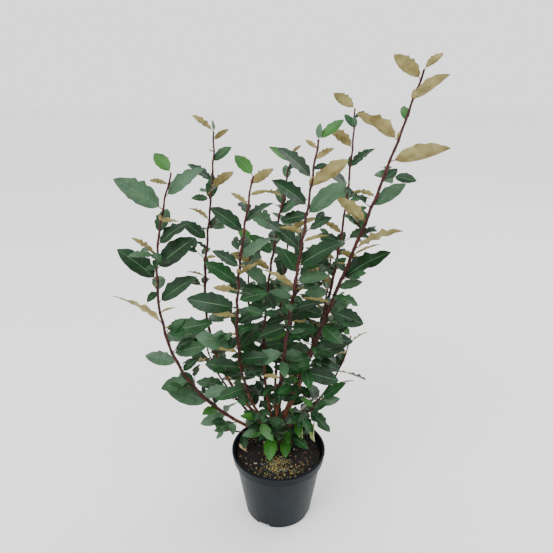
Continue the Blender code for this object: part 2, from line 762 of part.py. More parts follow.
def build():
    clear_scene()
    parts = new_collection("potted_silverberry")
    cutters = new_collection("cutters")
    build_pot(parts, cutters)
    soil = build_soil(parts)
    trunk = build_trunk(parts)
    boughs = build_boughs(parts, trunk)
    wall = turned_stand_in(parts)
    build_foliage(parts, [soil, trunk, wall, *boughs.values()], trunk, boughs)
    bpy.data.objects.remove(wall, do_unlink=True)


def turned_stand_in(parts):
    """The pot's plain wall as a mesh, for testing that no leaf touches it."""
    wall = turned("wall", pot_profile(), POT_STEPS, parts)
    wall.data = evaluated_mesh(wall)
    wall.modifiers.clear()
    return wall


build()
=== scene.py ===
# %% [markdown]
# # A young silverberry in its nursery pot
# The plant is a compact silverberry: an evergreen shrub whose leathery leaves are green above
# and silvery buff beneath. Seventeen shoots rise from one short stool in a black pot.
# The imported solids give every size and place. Each is dressed here with finer meshes that
# grow by the same rule, so that the leaves stand where their solids stand.
#
# A plant can be made by hand, from a library of scanned branches, or by a rule. A rule is
# chosen because it can be read, and because a change of one number reshapes the whole plant.

import math
import random
from bisect import bisect_left
from collections import namedtuple

import bmesh
import bpy
import numpy as np
from mathutils import Matrix, Vector, noise
from mathutils.bvhtree import BVHTree


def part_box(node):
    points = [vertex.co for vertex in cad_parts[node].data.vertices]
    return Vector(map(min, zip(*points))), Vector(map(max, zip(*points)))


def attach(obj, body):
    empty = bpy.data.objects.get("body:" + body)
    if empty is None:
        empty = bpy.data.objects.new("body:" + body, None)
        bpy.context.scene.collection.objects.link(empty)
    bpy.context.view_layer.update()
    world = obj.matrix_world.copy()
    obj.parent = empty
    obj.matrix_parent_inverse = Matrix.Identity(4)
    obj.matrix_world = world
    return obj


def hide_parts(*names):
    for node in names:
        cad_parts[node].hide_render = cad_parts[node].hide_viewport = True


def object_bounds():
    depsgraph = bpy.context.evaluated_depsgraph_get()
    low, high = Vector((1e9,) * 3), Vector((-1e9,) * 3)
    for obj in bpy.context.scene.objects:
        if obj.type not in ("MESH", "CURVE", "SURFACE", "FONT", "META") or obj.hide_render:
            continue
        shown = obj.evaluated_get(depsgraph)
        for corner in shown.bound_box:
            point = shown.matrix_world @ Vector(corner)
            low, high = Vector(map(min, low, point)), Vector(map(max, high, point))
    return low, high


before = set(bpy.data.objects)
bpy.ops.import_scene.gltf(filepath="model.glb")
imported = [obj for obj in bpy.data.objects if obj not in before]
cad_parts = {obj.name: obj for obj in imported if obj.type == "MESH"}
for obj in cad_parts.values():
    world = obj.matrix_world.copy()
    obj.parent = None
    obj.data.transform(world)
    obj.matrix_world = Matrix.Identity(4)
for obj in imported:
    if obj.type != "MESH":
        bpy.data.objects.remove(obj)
CAD_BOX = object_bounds()
CM = 0.01
MM = 0.001
print("solids:", len(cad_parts), "box:", [tuple(round(c, 3) for c in corner) for corner in CAD_BOX])

# %% [markdown]
# ## Helpers for nodes and colours
# Every material and every Geometry Nodes tree below is a handful of nodes. One helper adds a
# node, sets its settings and links its inputs, and others wrap the nodes that come up often,
# so that each tree reads from top to bottom. Colours are written as the hex values that a
# colour picker shows, which are sRGB. The renderer works in the linear values.

# %% Nodes and colours


def linear(hex_colour):
    """Linear colour, with alpha, of an sRGB hex value such as "#204020"."""
    channels = [int(hex_colour[i:i + 2], 16) / 255.0 for i in (1, 3, 5)]
    return (*[c / 12.92 if c <= 0.04045 else ((c + 0.055) / 1.055) ** 2.4 for c in channels], 1.0)


def add(tree, kind, inputs=None, **settings):
    """Adds a node; an input takes a socket, a node's first output, or a plain value."""
    node = tree.nodes.new(kind)
    for name, value in settings.items():
        setattr(node, name, value)
    for key, value in (inputs or {}).items():
        if isinstance(value, bpy.types.Node):
            value = value.outputs[0]
        if isinstance(value, bpy.types.NodeSocket):
            tree.links.new(value, node.inputs[key])
        else:
            node.inputs[key].default_value = value
    return node


def new_material(name, roughness, **shader_values):
    """A material, its tree and the socket of the place on the object."""
    made = bpy.data.materials.new(name)
    made.use_nodes = True
    shader = made.node_tree.nodes["Principled BSDF"]
    shader.inputs["Roughness"].default_value = roughness
    for key, value in shader_values.items():
        shader.inputs[key.replace("_", " ")].default_value = value
    return made, made.node_tree, add(made.node_tree, "ShaderNodeTexCoord").outputs["Object"]


def feed(tree, name, value):
    """Links a socket to one input of the material's shader."""
    tree.links.new(value, tree.nodes["Principled BSDF"].inputs[name])


def reckon(tree, operation, *values):
    """The result of one step of arithmetic, as a socket."""
    return add(tree, "ShaderNodeMath", dict(enumerate(values)), operation=operation).outputs[0]


def mapped(tree, value, low, high, start=0.0, end=1.0):
    """Value stretched from one range to another and held within it."""
    inputs = {"Value": value, "From Min": low, "From Max": high, "To Min": start, "To Max": end}
    return add(tree, "ShaderNodeMapRange", inputs).outputs[0]


def speckle(tree, place, size, detail, stretch=(1.0, 1.0, 1.0)):
    """Noise whose blots are about the given size in metres, as a socket from 0 to 1."""
    scaled = add(tree, "ShaderNodeMapping", {"Vector": place, "Scale": stretch})
    inputs = {"Vector": scaled, "Scale": 0.5 / size, "Detail": detail}
    return add(tree, "ShaderNodeTexNoise", inputs).outputs[0]


def ramp(tree, value, low, high, dark="#000000", light="#ffffff"):
    """Colour, or a mask, that goes from dark to light as the value goes from low to high."""
    made = add(tree, "ShaderNodeValToRGB", {"Fac": value})
    for element, position, colour in zip(made.color_ramp.elements, (low, high), (dark, light)):
        element.position = position
        element.color = linear(colour)
    return made.outputs[0]


def blend(tree, share, below, above):
    """The colour below, covered by the hex colour above where the share is 1."""
    inputs = {"Factor": share, 6: below, 7: linear(above)}
    return add(tree, "ShaderNodeMix", inputs, data_type="RGBA").outputs[2]


def bump(tree, height, depth, strength):
    """Bumps of the given depth in metres."""
    inputs = {"Height": height, "Distance": depth, "Strength": strength}
    feed(tree, "Normal", add(tree, "ShaderNodeBump", inputs).outputs[0])


# %% [markdown]
# ## Helpers for meshes
# A piece is a mesh with one finish or more. It rides on the plant, and the solids that it
# stands for are hidden. The same steps end every piece, so one function takes them, and
# prints how many triangles the piece has.

# %% Meshes and pieces


def show(name, mesh):
    """A mesh object at the origin, in the scene."""
    obj = bpy.data.objects.new(name, mesh)
    bpy.context.scene.collection.objects.link(obj)
    return obj


def mesh_of(bm, name):
    """The mesh of a closed body, with its faces turned outwards."""
    bmesh.ops.recalc_face_normals(bm, faces=bm.faces)
    mesh = bpy.data.meshes.new(name)
    bm.to_mesh(mesh)
    bm.free()
    return mesh


def ring_angles(count):
    return [2.0 * math.pi * index / count for index in range(count)]


def finished(name, mesh, replaced=(), finish=None, smooth=True):
    """Turns a mesh into a piece that rides on the plant and stands for its solids."""
    if finish:
        mesh.materials.append(finish)
    mesh.polygons.foreach_set("use_smooth", [smooth] * len(mesh.polygons))
    obj = show(name, mesh)
    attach(obj, "root")
    if replaced:
        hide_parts(*replaced)
    triangles = sum(len(face.vertices) - 2 for face in mesh.polygons)
    print(f"{name}: {triangles} triangles")


def baked(obj):
    """The plain mesh that an object's modifiers give; the object itself goes."""
    bpy.context.view_layer.update()
    mesh = bpy.data.meshes.new_from_object(obj.evaluated_get(bpy.context.evaluated_depsgraph_get()))
    bpy.data.objects.remove(obj, do_unlink=True)
    return mesh


# %% [markdown]
# ## Camera, light and floor
# The photograph looks down on the plant, from about the height of its top and less than a
# metre away, so the pot seems small and the top leaves large. The lens is chosen, not
# measured. For that lens the ellipses of the pot's rim and base give the camera's place and
# its tilt of 23 degrees. Lenses a little shorter fit them about as well, and so do lenses up
# to a third longer with a slightly higher pot.
# The light is even and soft, like an overcast sky, so a bright world does most of it, with
# one large lamp from the upper left and a weaker one from behind.

# %% Camera, light and floor
SENSOR = 36.0
FOCAL_SHARE = 560.0 / 553.0
CAMERA_PLACE = Vector((0.0, -0.817, 0.829))
CAMERA_PITCH = math.radians(23.45)
CAMERA_YAW = math.radians(0.25)
SKY_STRENGTH = 1.7
FLOOR_REACH = 6.0
FLOOR_DROP = 0.4 * MM
# Each lamp's place, the point it shines at, its size in metres and its power in watts
LAMPS = {
    "key_lamp": ((-1.1, -1.3, 2.3), (0.0, 0.0, 0.35), 1.2, 34.0),
    "rim_lamp": ((1.6, 1.2, 1.9), (0.0, 0.0, 0.4), 1.0, 14.0),
}

camera = bpy.data.objects.new("camera", bpy.data.cameras.new("camera"))
camera.data.sensor_width = SENSOR
camera.data.lens = SENSOR * FOCAL_SHARE
camera.location = CAMERA_PLACE
level_share = math.cos(CAMERA_PITCH)
ahead = Vector((-math.sin(CAMERA_YAW) * level_share, math.cos(CAMERA_YAW) * level_share,
                -math.sin(CAMERA_PITCH)))
camera.rotation_euler = ahead.to_track_quat("-Z", "Y").to_euler()
bpy.context.scene.collection.objects.link(camera)
bpy.context.scene.camera = camera

world = bpy.data.worlds.new("overcast")
world.use_nodes = True
sky = world.node_tree.nodes["Background"].inputs
sky["Color"].default_value = (1.0, 1.0, 1.0, 1.0)
sky["Strength"].default_value = SKY_STRENGTH
bpy.context.scene.world = world

for lamp_name, (lamp_place, target, lamp_size, power) in LAMPS.items():
    lamp = bpy.data.objects.new(lamp_name, bpy.data.lights.new(lamp_name, "AREA"))
    lamp.data.size = lamp_size
    lamp.data.energy = power
    lamp.location = lamp_place
    lamp.rotation_euler = (Vector(target) - Vector(lamp_place)).to_track_quat("-Z", "Y").to_euler()
    bpy.context.scene.collection.objects.link(lamp)

floor_sheet = bpy.data.meshes.new("floor")
floor_corners = [(x * FLOOR_REACH, y * FLOOR_REACH, -FLOOR_DROP)
                 for x, y in ((-1, -1), (1, -1), (1, 1), (-1, 1))]
floor_sheet.from_pydata(floor_corners, [], [(0, 1, 2, 3)])
floor_sheet.materials.append(new_material("matt_white_paper", 0.9, Base_Color=linear("#f8f8f8"))[0])
floor = show("floor", floor_sheet)
print("lens:", round(camera.data.lens, 1), "mm, camera:", [round(c, 3) for c in camera.location])

# %% [markdown]
# ## The pot
# A nursery pot is injection-moulded black polypropylene. It has a collar with a lip, a thin
# tapered wall, and notches round its foot that let water out.
# The height and the rim are read from the solid, and the other sizes are set from them.

# %% Pot sizes
GAP = 0.3 * MM
POT_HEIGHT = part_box("pot")[1].z
RIM_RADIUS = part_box("pot")[1].x
LIP_WIDTH = 4.0 * MM
LIP_HEIGHT = 3.5 * MM
LIP_TAPER = 1.2 * MM
LIP_EDGE = 0.8 * MM
COLLAR_RADIUS = RIM_RADIUS - 1.5 * MM
COLLAR_FOOT = POT_HEIGHT - 17.5 * MM
COLLAR_TAPER = 0.5 * MM
COLLAR_STEP = 4.0 * MM
BODY_TOP_RADIUS = RIM_RADIUS - 6.5 * MM
BASE_RADIUS = RIM_RADIUS - 24.0 * MM
FOOT_BEVEL = 1.5 * MM
EDGE_ROUND = 0.6 * MM
EDGE_DEPTH = 1.0 * MM
WALL = 2.2 * MM
FLOOR = 3.0 * MM
POT_STEPS = 144
NOTCH_COUNT = 4
NOTCH_FIRST = math.radians(-116)
NOTCH_SIZE = (24.0 * MM, 22.0 * MM, 11.0 * MM)
print(f"pot: {POT_HEIGHT / MM:.0f} mm high, {2 * RIM_RADIUS / MM:.0f} mm across its rim")

# %% [markdown]
# ## The pot's shape
# The pot could be modelled face by face, but every level cut of it is a circle. So the profile
# of the solid is turned here in finer steps, with small round edges, and the notches are cut
# from it by boxes.

# %% Pot shape
ROUND_REACH = 0.45
ROUND_STEPS = 3
WELD_REACH = 0.05 * MM


def inner_radius(height):
    share = (height - FLOOR) / (COLLAR_FOOT - FLOOR)
    return BASE_RADIUS - WALL + (BODY_TOP_RADIUS - BASE_RADIUS) * min(share, 1.0)


def rounded(points, radius):
    """Puts a small round at every inner corner of a profile."""
    smooth = [points[0]]
    for before, here, after in zip(points, points[1:], points[2:]):
        back = before - here
        on = after - here
        reach = min(radius, back.length * ROUND_REACH, on.length * ROUND_REACH)
        start = here + back.normalized() * reach
        end = here + on.normalized() * reach
        for step in range(ROUND_STEPS + 1):
            share = step / ROUND_STEPS
            smooth.append(start.lerp(here, share).lerp(here.lerp(end, share), share))
    return smooth + [points[-1]]


def pot_profile():
    """The pot's half section, up its inner side and down its outer side."""
    lip_inner = RIM_RADIUS - LIP_WIDTH
    corners = (
        (0.0, FLOOR), (inner_radius(FLOOR), FLOOR), (BODY_TOP_RADIUS - WALL, COLLAR_FOOT),
        (COLLAR_RADIUS - WALL, COLLAR_FOOT + COLLAR_STEP), (lip_inner, POT_HEIGHT - LIP_EDGE),
        (lip_inner + LIP_TAPER, POT_HEIGHT), (RIM_RADIUS - EDGE_ROUND, POT_HEIGHT),
        (RIM_RADIUS, POT_HEIGHT - EDGE_DEPTH), (RIM_RADIUS, POT_HEIGHT - LIP_HEIGHT),
        (COLLAR_RADIUS, POT_HEIGHT - LIP_HEIGHT - LIP_TAPER), (COLLAR_RADIUS - COLLAR_TAPER, COLLAR_FOOT),
        (BODY_TOP_RADIUS, COLLAR_FOOT - FOOT_BEVEL), (BASE_RADIUS, FOOT_BEVEL),
        (BASE_RADIUS - FOOT_BEVEL, 0.0), (0.0, 0.0),
    )
    return rounded([Vector(corner) for corner in corners], EDGE_ROUND)


def notch(pot, angle):
    """One drain notch, cut from the pot by a box."""
    bm = bmesh.new()
    bmesh.ops.create_cube(bm, size=1.0)
    bmesh.ops.scale(bm, vec=NOTCH_SIZE, verts=bm.verts)
    cutter = show("notch", mesh_of(bm, "notch"))
    cutter.location = (BASE_RADIUS * math.cos(angle), BASE_RADIUS * math.sin(angle), 0.0)
    cutter.rotation_euler = (0.0, 0.0, angle)
    pot.modifiers.new("notch", "BOOLEAN").object = cutter
    return cutter


def pot_mesh():
    profile = pot_profile()
    mesh = bpy.data.meshes.new("pot_shape")
    mesh.from_pydata([(point.x, 0.0, point.y) for point in profile],
                     [(i, i + 1) for i in range(len(profile) - 1)], [])
    pot = show("pot_shape", mesh)
    screw = pot.modifiers.new("turn", "SCREW")
    screw.steps = POT_STEPS
    screw.render_steps = POT_STEPS
    screw.use_merge_vertices = True
    screw.merge_threshold = WELD_REACH
    cutters = [notch(pot, NOTCH_FIRST + angle) for angle in ring_angles(NOTCH_COUNT)]
    whole = baked(pot)
    for cutter in cutters:
        bpy.data.objects.remove(cutter, do_unlink=True)
    return whole


# %% [markdown]
# ## The pot's finish
# The moulding is satin. A used pot is dusty and finely scuffed, and low down it has a touch of
# green algae. The marks come from noise at the size of each mark, and the height above the
# ground thins the dust and the algae out.

# %% Pot finish: satin moulded polypropylene, dusty and scuffed
CLOUD = 22 * MM
SCUFF = 1.6 * MM
ALGAE = 6 * MM
FLECK = 0.9 * MM
DIRTY_HEIGHT = 0.09
DIRT = (0.30, 0.05)
ALGAE_SHARE = 0.45
SATIN = (0.36, 0.5)
CREASE = math.radians(38)


def moulded_polypropylene():
    made, tree, place = new_material("moulded_polypropylene", SATIN[0], IOR=1.49, Specular_IOR_Level=0.14)
    scuffs = speckle(tree, place, SCUFF, 6.0, (1.0, 1.0, 0.6))
    colour = ramp(tree, speckle(tree, place, CLOUD, 4.0), 0.35, 0.68, "#030a10", "#07141c")
    height = add(tree, "ShaderNodeSeparateXYZ", {"Vector": place}).outputs["Z"]
    low_down = mapped(tree, height, 0.0, DIRTY_HEIGHT, *DIRT)
    dust = reckon(tree, "MULTIPLY", ramp(tree, scuffs, 0.48, 0.72), low_down)
    colour = blend(tree, dust, colour, "#2c2c28")
    algae = ramp(tree, speckle(tree, place, ALGAE, 5.0), 0.62, 0.70)
    algae = reckon(tree, "MULTIPLY", reckon(tree, "MULTIPLY", algae, low_down), ALGAE_SHARE)
    colour = blend(tree, algae, colour, "#222c1e")
    flecks = ramp(tree, speckle(tree, place, FLECK, 2.0), 0.72, 0.76, light="#8a8a8a")
    feed(tree, "Base Color", blend(tree, flecks, colour, "#8d918c"))
    feed(tree, "Roughness", mapped(tree, scuffs, 0.3, 0.75, *SATIN))
    bump(tree, scuffs, 0.15 * MM, 0.35)
    return made


pot = pot_mesh()
finished("pot_shell", pot, ["pot"], moulded_polypropylene())
pot.set_sharp_from_angle(angle=CREASE)

# %% [markdown]
# ## How the plant grows
# Each shoot is a smooth cubic curve from the stool to its tip. Its lower part is a bare bough,
# and above the split the leaves stand at even distances along it. A short leaf plan says, from
# foot to tip, to which side each leaf points, how long it is, and whether it rises or hangs.
# Five of the six rear shoots have only a number of leaves, which stand in a spiral of two
# fifths of a turn.
# A leaf that would touch another limb turns a little, shrinks a little or is left out.
# This is the rule that the solids were grown by, with the same seeds.

# %% The plan of every shoot
# Leaf: shares of the length, each with its share of the half width
LEAF_OUTLINE = ((0.0, 0.0), (0.3, 0.9), (0.74, 0.78), (1.0, 0.0))
LEAF_BELLY = 0.5
LEAF_WIDTH = 0.44
LEAF_THICKNESS = 0.024
LEAF_FOLD = 0.3
LEAF_DROOP = 0.16
LEAF_LEVEL = 0.75
YOUNG_FOLD_SHARE = 0.5
RISE = {"+": 38.0, "": 16.0, "-": -18.0}
ROLL_UPPER = 36.0
ROLL_UNDER = -50.0
BEARING = {"E": 0, "NE": 45, "N": 90, "NW": 135, "W": 180, "SW": 225, "S": 270, "SE": 315}
TURN = 144.0

# Spiral of a rear shoot: length in centimetres and rise in degrees, both from foot to tip
SPIRAL_LENGTH = (5.0, 7.4)
SPIRAL_TAPER = 0.45
SPIRAL_FIRST_RISE = -10.0
SPIRAL_RISE_GAIN = 48.0
SPIRAL_SWAY = 8.0
SPIRAL_FACES = (1, 1, -1)
YOUNG_SHARE = 0.9

# How much one leaf differs from its plan, in degrees and as a share of its length
SWAY_BEARING = 9
SWAY_RISE = 5
SWAY_ROLL = 10
SWAY_LENGTH = (0.95, 1.06)
NODE_STEPS = 200
FIRST_NODE = 0.7

# Twigs: short side shoots in some leaf axils, each with two small leaves
SPUR_CHANCE = 0.1
SPUR_LENGTH = (1.2 * CM, 2.6 * CM)
SPUR_RADII = (1.1 * MM, 0.8 * MM)
SPUR_LEAF = (2.4 * CM, 3.8 * CM)
SPUR_SWING = 50
SPUR_RISE = (30, 58)
SPUR_LEAF_SPREAD = 70
SPUR_LEAF_RISE = (0, 40)
SPUR_LEAF_PLACES = (0.55, 0.88)
SPUR_FREE_TIP = 4
ZIGZAG = 1.3 * MM

# Turns in degrees, and shares of the length, that a leaf tries before it is left out
LEAF_TRIES = (
    (0, 0, 1.0), (12, 4, 1.0), (-12, 4, 1.0), (0, 14, 0.97), (0, -14, 0.97), (24, 8, 0.94),
    (-24, 8, 0.94), (18, 22, 0.9), (-18, 22, 0.9), (36, -8, 0.86), (-36, -8, 0.86), (0, 30, 0.82),
    (56, 10, 0.78), (-56, 10, 0.78),
)
LEAF_CLEARANCE = 1.04

# A shoot's route is a cubic curve in centimetres: its foot, two shaping points and its tip.
# Its bough is the bare part up to the split, and its leaf plan runs from there to the tip.
# A leaf is its compass bearing (N is away from the front), its length in centimetres, and
# + or - where it rises or hangs. Small letters turn its underside to the front, ! is a young
# leaf and a dot is a bare node. A number instead of a plan is a count of leaves in a spiral.
Shoot = namedtuple("Shoot", "name route split foot_radius tip_radius leaves")
SHOOTS = (
    Shoot("tall_right", ((-0.1, 2.0, 15.5), (6.0, 1.0, 35.5), (13.5, -1.0, 56.0), (19.5, -1.5, 78.5)),
          0.18, 3.8, 1.1,
          "SW4! E7- S5- W5 E6 s3- E7- W5 SE5- W6 E6- w5 E4- E4 E9+ N4 w2 e5 e8 E3- N5+ w6+ . E6+ w4 "
          ". . . e8 . w7+ . N3+! . e6+ . w5+ e3+"),
    Shoot("front_middle", ((-0.6, 1.8, 15.8), (0.5, -0.5, 35.0), (3.5, -4.0, 53.5), (5.0, -9.5, 70.5)),
          0.17, 3.2, 1.0,
          "S4- w3 E5 . S4- W6- N4 E4 W4-! W5- N5 E5 S4 W4 w6+ E5 NW5+ E7+ N4+ W7+ e4 w4 . E7+ W6+ . "
          "e6+ W6+ E2 e3+ w2+ E4+!"),
    Shoot("far_left", ((-0.8, 2.0, 14.4), (-22.5, 1.0, 23.0), (-22.0, 0.0, 46.0), (-15.5, -2.0, 64.5)),
          0.13, 3.2, 1.0,
          "W5- SW4! W8 E5 NW5 W5- E4+ W6 E6 N4 E8 w9+ e3 E8+ N5 W8+ E8+ w5+ E6+ N5+ se4 W8+ E7+ w3 "
          "NW4+!"),
    Shoot("front_left", ((-1.0, 2.0, 15.8), (-10.5, 0.5, 26.5), (-6.0, -3.0, 53.0), (-3.5, -6.0, 65.0)),
          0.22, 2.8, 1.0,
          "W6- w3 E4 W6 E5 w5 W7 N4 E3 E6+ w4 W8 E5 w4 W6+ e4+ W5+ E6+ . . W6+ E5+ N4 w3+ e3 e4+ "
          "NW4+!"),
    Shoot("back_left", ((-1.0, 2.4, 15.6), (-19.5, 4.0, 32.5), (-10.5, 6.5, 49.5), (-10.5, 10.0, 68.5)),
          0.3, 2.8, 1.0,
          "w4 W6- W7- E4 . E3+ . N3 w3 E3- e2 W2+ W5+ E5+ w4+ . N5+ e5+ W5+ . E4+ w1 e3+ w4+"),
    Shoot("back_middle", ((-0.8, 2.7, 15.8), (-5.0, 3.5, 32.5), (-1.0, 5.0, 49.5), (2.0, 7.0, 65.5)),
          0.28, 2.7, 1.0,
          "W5 E5 N5 W6- E4 W5 N4 E5 W5 W6+ e5- w4+ E5 W5+ N5 s3 W6+ E5 E4+ N4+ w4 e2 N3+ E2+ W4+! "
          "e2+"),
    Shoot("back_right", ((0.0, 2.5, 15.4), (8.5, 4.5, 33.0), (11.5, 7.0, 53.0), (12.0, 10.0, 72.0)),
          0.24, 2.9, 1.0,
          "E6- W5 N5 E6 w5 S5- E5 W5 w6 w7+ N4 W5 w5 e4- W4 w4+ . e2 N5+ . W6+ . E5+ . w5+ . NW3+ "
          "E2+ w4+"),
    Shoot("rear_middle", ((-0.6, 2.8, 15.6), (-1.0, 6.5, 28.0), (0.5, 9.5, 40.0), (2.0, 14.0, 51.5)),
          0.24, 2.6, 1.0,
          "W5 N5 E5 n4 W6 E6 N5 W5+ e5 N5+ E5+ W5+ N4+ e4+ W4+"),
    Shoot("rear_left", ((-0.8, 2.7, 15.0), (-4.0, 8.0, 25.0), (-7.0, 12.0, 36.0), (-5.0, 16.0, 47.0)),
          0.24, 2.5, 1.0, 15),
    Shoot("rear_tall", ((-0.3, 2.7, 15.2), (1.0, 10.0, 25.0), (4.0, 15.0, 37.0), (4.0, 18.0, 50.0)),
          0.24, 2.5, 1.0, 16),
    Shoot("rear_right", ((0.0, 2.6, 15.0), (5.0, 7.0, 24.0), (9.5, 12.0, 34.0), (9.5, 14.5, 46.0)),
          0.24, 2.5, 1.0, 15),
    Shoot("low_rear_left", ((-0.7, 2.5, 14.3), (-6.0, 6.0, 17.0), (-12.0, 8.0, 21.0), (-14.0, 10.0, 31.0)),
          0.2, 2.2, 1.0, 11),
    Shoot("low_rear_right", ((-0.2, 2.5, 14.3), (6.0, 6.0, 17.0), (11.5, 8.0, 21.0), (13.5, 10.0, 31.0)),
          0.2, 2.2, 1.0, 11),
    Shoot("low_front", ((-0.5, 1.9, 14.5), (-1.2, 0.0, 15.6), (-2.8, -0.4, 17.5), (-3.6, -0.6, 20.4)),
          0.0, 1.5, 1.0,
          ". S5-! . W4-! . SE4-! W3!"),
    Shoot("low_left", ((-0.6, 2.2, 13.8), (-4.0, 1.5, 14.9), (-6.5, 1.0, 16.0), (-9.8, 0.0, 17.3)),
          0.0, 1.5, 1.0,
          ". . N3+ E2+ S3- . W3 SW2-"),
    Shoot("low_right", ((-0.2, 2.0, 14.6), (2.4, 0.0, 17.6), (4.8, 0.2, 20.4), (7.6, 0.4, 23.6)),
          0.0, 1.7, 1.0,
          ". . S3-! N4+ . S3-! W3+! S4- SE5- W3+! E4 E5+"),
    Shoot("low_sprig", ((-0.2, 2.2, 13.9), (1.0, 1.0, 14.6), (2.2, 0.4, 15.2), (3.4, 0.0, 15.8)),
          0.0, 1.4, 1.0,
          ". . S4-! E4+ SE4 NE3+"),
)

# %% [markdown]
# ## The rule
# A leaf is a folded blade at a node, turned by its bearing, its rise and its roll. A body keeps
# its mesh and its box for the touch test, in which boxes are compared first because that is
# quick. Every random number is drawn whether or not it is used, so that a change to one leaf
# leaves the draws of the next one as they were.

# %% The rule
Leaf = namedtuple("Leaf", "root bearing rise roll length young")
Twig = namedtuple("Twig", "root direction length")
Body = namedtuple("Body", "owner spur tree low high")
Mass = namedtuple("Mass", "shoot plan nodes leaves twigs")


def along(shoot, t):
    """Point at share t of a shoot's cubic curve, in metres."""
    a, b, c, d = (Vector(point) * CM for point in shoot.route)
    s = 1.0 - t
    return a * s ** 3 + b * (3 * s * s * t) + c * (3 * s * t * t) + d * t ** 3


def heading(bearing, rise=0.0):
    """The direction of a bearing and a rise, both in degrees."""
    side = math.radians(bearing)
    up = math.radians(rise)
    return Vector((math.cos(up) * math.cos(side), math.cos(up) * math.sin(side), math.sin(up)))


def stem_radius(shoot, t):
    return (shoot.foot_radius + (shoot.tip_radius - shoot.foot_radius) * t) * MM


def sag(share, droop):
    """How far a leaf hangs at a share of its length, both as shares of the length."""
    return droop * (share * share - share * LEAF_LEVEL)


def leaf_bmesh(leaf, swell=1.0):
    """A thin folded blade with six points round its edge, the first at its stalk."""
    bm = bmesh.new()
    bmesh.ops.create_uvsphere(bm, u_segments=6, v_segments=2, radius=1.0)
    half_width = leaf.length * LEAF_WIDTH / 2.0
    thickness = leaf.length * LEAF_THICKNESS * (3.0 * swell - 2.0) ** 2
    fold = LEAF_FOLD * (YOUNG_FOLD_SHARE if leaf.young else 1.0)
    for vert in bm.verts:
        if abs(vert.co.z) > 0.5:
            share = LEAF_BELLY
            side = 0.0
            lift = math.copysign(thickness / 2.0, vert.co.z)
        else:
            step = round(math.degrees(math.atan2(vert.co.y, vert.co.x)) / 60.0)
            share, width = LEAF_OUTLINE[3 - abs(step)]
            side = math.copysign(width, step) * half_width * swell
            lift = abs(side) * fold
        vert.co = (share * leaf.length * swell, side, lift - sag(share, LEAF_DROOP * leaf.length))
    bm.transform(leaf_matrix(leaf))
    return bm


def leaf_matrix(leaf):
    """Where a leaf stands, with its length along x and its upper side up."""
    bearing = math.radians(leaf.bearing)
    roll = math.radians(leaf.roll)
    axis = heading(leaf.bearing, leaf.rise)
    level = Vector((-math.sin(bearing), math.cos(bearing), 0.0))
    upper = axis.cross(level)
    side = level * math.cos(roll) + upper * math.sin(roll)
    normal = upper * math.cos(roll) - level * math.sin(roll)
    turn = Matrix((axis, side, normal)).transposed().to_4x4()
    return Matrix.Translation(leaf.root) @ turn


def read_plan(leaves, rng):
    """Leaf plan as a list of (bearing, length, rise, face, young), or None at a bare node."""
    plan = []
    if isinstance(leaves, int):
        first = rng.uniform(0.0, 360.0)
        for index in range(leaves):
            share = index / leaves
            length = rng.uniform(*SPIRAL_LENGTH) * (1.0 - SPIRAL_TAPER * share ** 3)
            rise = SPIRAL_FIRST_RISE + SPIRAL_RISE_GAIN * share + rng.uniform(-SPIRAL_SWAY, SPIRAL_SWAY)
            face = rng.choice(SPIRAL_FACES)
            plan.append((first + TURN * index, length, rise, face, share > YOUNG_SHARE))
        return plan
    for word in leaves.split():
        if word == ".":
            plan.append(None)
            continue
        young = word.endswith("!")
        word = word.rstrip("!")
        slope = word[-1] if word[-1] in "+-" else ""
        word = word.rstrip("+-")
        name = word.rstrip("0123456789")
        length = float(word[len(name):])
        face = 1 if name.isupper() else -1
        plan.append((BEARING[name.upper()], length, RISE[slope], face, young))
    return plan


def roll_for(bearing, face):
    """Roll that turns the upper side, or the underside, to the front."""
    amount = ROLL_UPPER if face > 0 else ROLL_UNDER
    return amount * math.cos(math.radians(bearing))


def leaf_jitter(rng):
    """Small random changes of a leaf's bearing, rise, roll and length."""
    return (rng.uniform(-SWAY_BEARING, SWAY_BEARING), rng.uniform(-SWAY_RISE, SWAY_RISE),
            rng.uniform(-SWAY_ROLL, SWAY_ROLL), rng.uniform(*SWAY_LENGTH))


def spur_draws(rng):
    """Chance, length, swing and rise of a twig, and its two leaves' lengths, spreads and rises."""
    draw = (rng.random(), rng.uniform(*SPUR_LENGTH), rng.uniform(-SPUR_SWING, SPUR_SWING),
            rng.uniform(*SPUR_RISE))
    small = [(rng.uniform(*SPUR_LEAF), rng.uniform(-SPUR_LEAF_SPREAD, SPUR_LEAF_SPREAD),
              rng.uniform(*SPUR_LEAF_RISE)) for _ in SPUR_LEAF_PLACES]
    return draw, small


def body_of(owner, spur, bm):
    """A body with the corners of its box."""
    low, high = [Vector(pick(v.co[i] for v in bm.verts) for i in range(3)) for pick in (min, max)]
    return Body(owner, spur, BVHTree.FromBMesh(bm, epsilon=0.0), low, high)


def touches(body, bodies, strict):
    """Whether a body meets another; one of its own shoot counts only in a strict test."""
    for other in bodies:
        own = other.owner == body.owner
        if own and (not strict or other.spur is None or other.spur == body.spur):
            continue
        if any(body.low[i] > other.high[i] or body.high[i] < other.low[i] for i in range(3)):
            continue
        if body.tree.overlap(other.tree):
            return True
    return False


def try_leaf(leaf, owner, spur, bodies):
    """The leaf, turned a little where it has to be to touch nothing, or None."""
    for strict in (True, False):
        for turn, lift, share in LEAF_TRIES:
            trial = leaf._replace(bearing=leaf.bearing + turn, rise=leaf.rise + lift,
                                  length=leaf.length * share)
            if not touches(body_of(owner, spur, leaf_bmesh(trial, LEAF_CLEARANCE)), bodies, strict):
                return trial
    return None


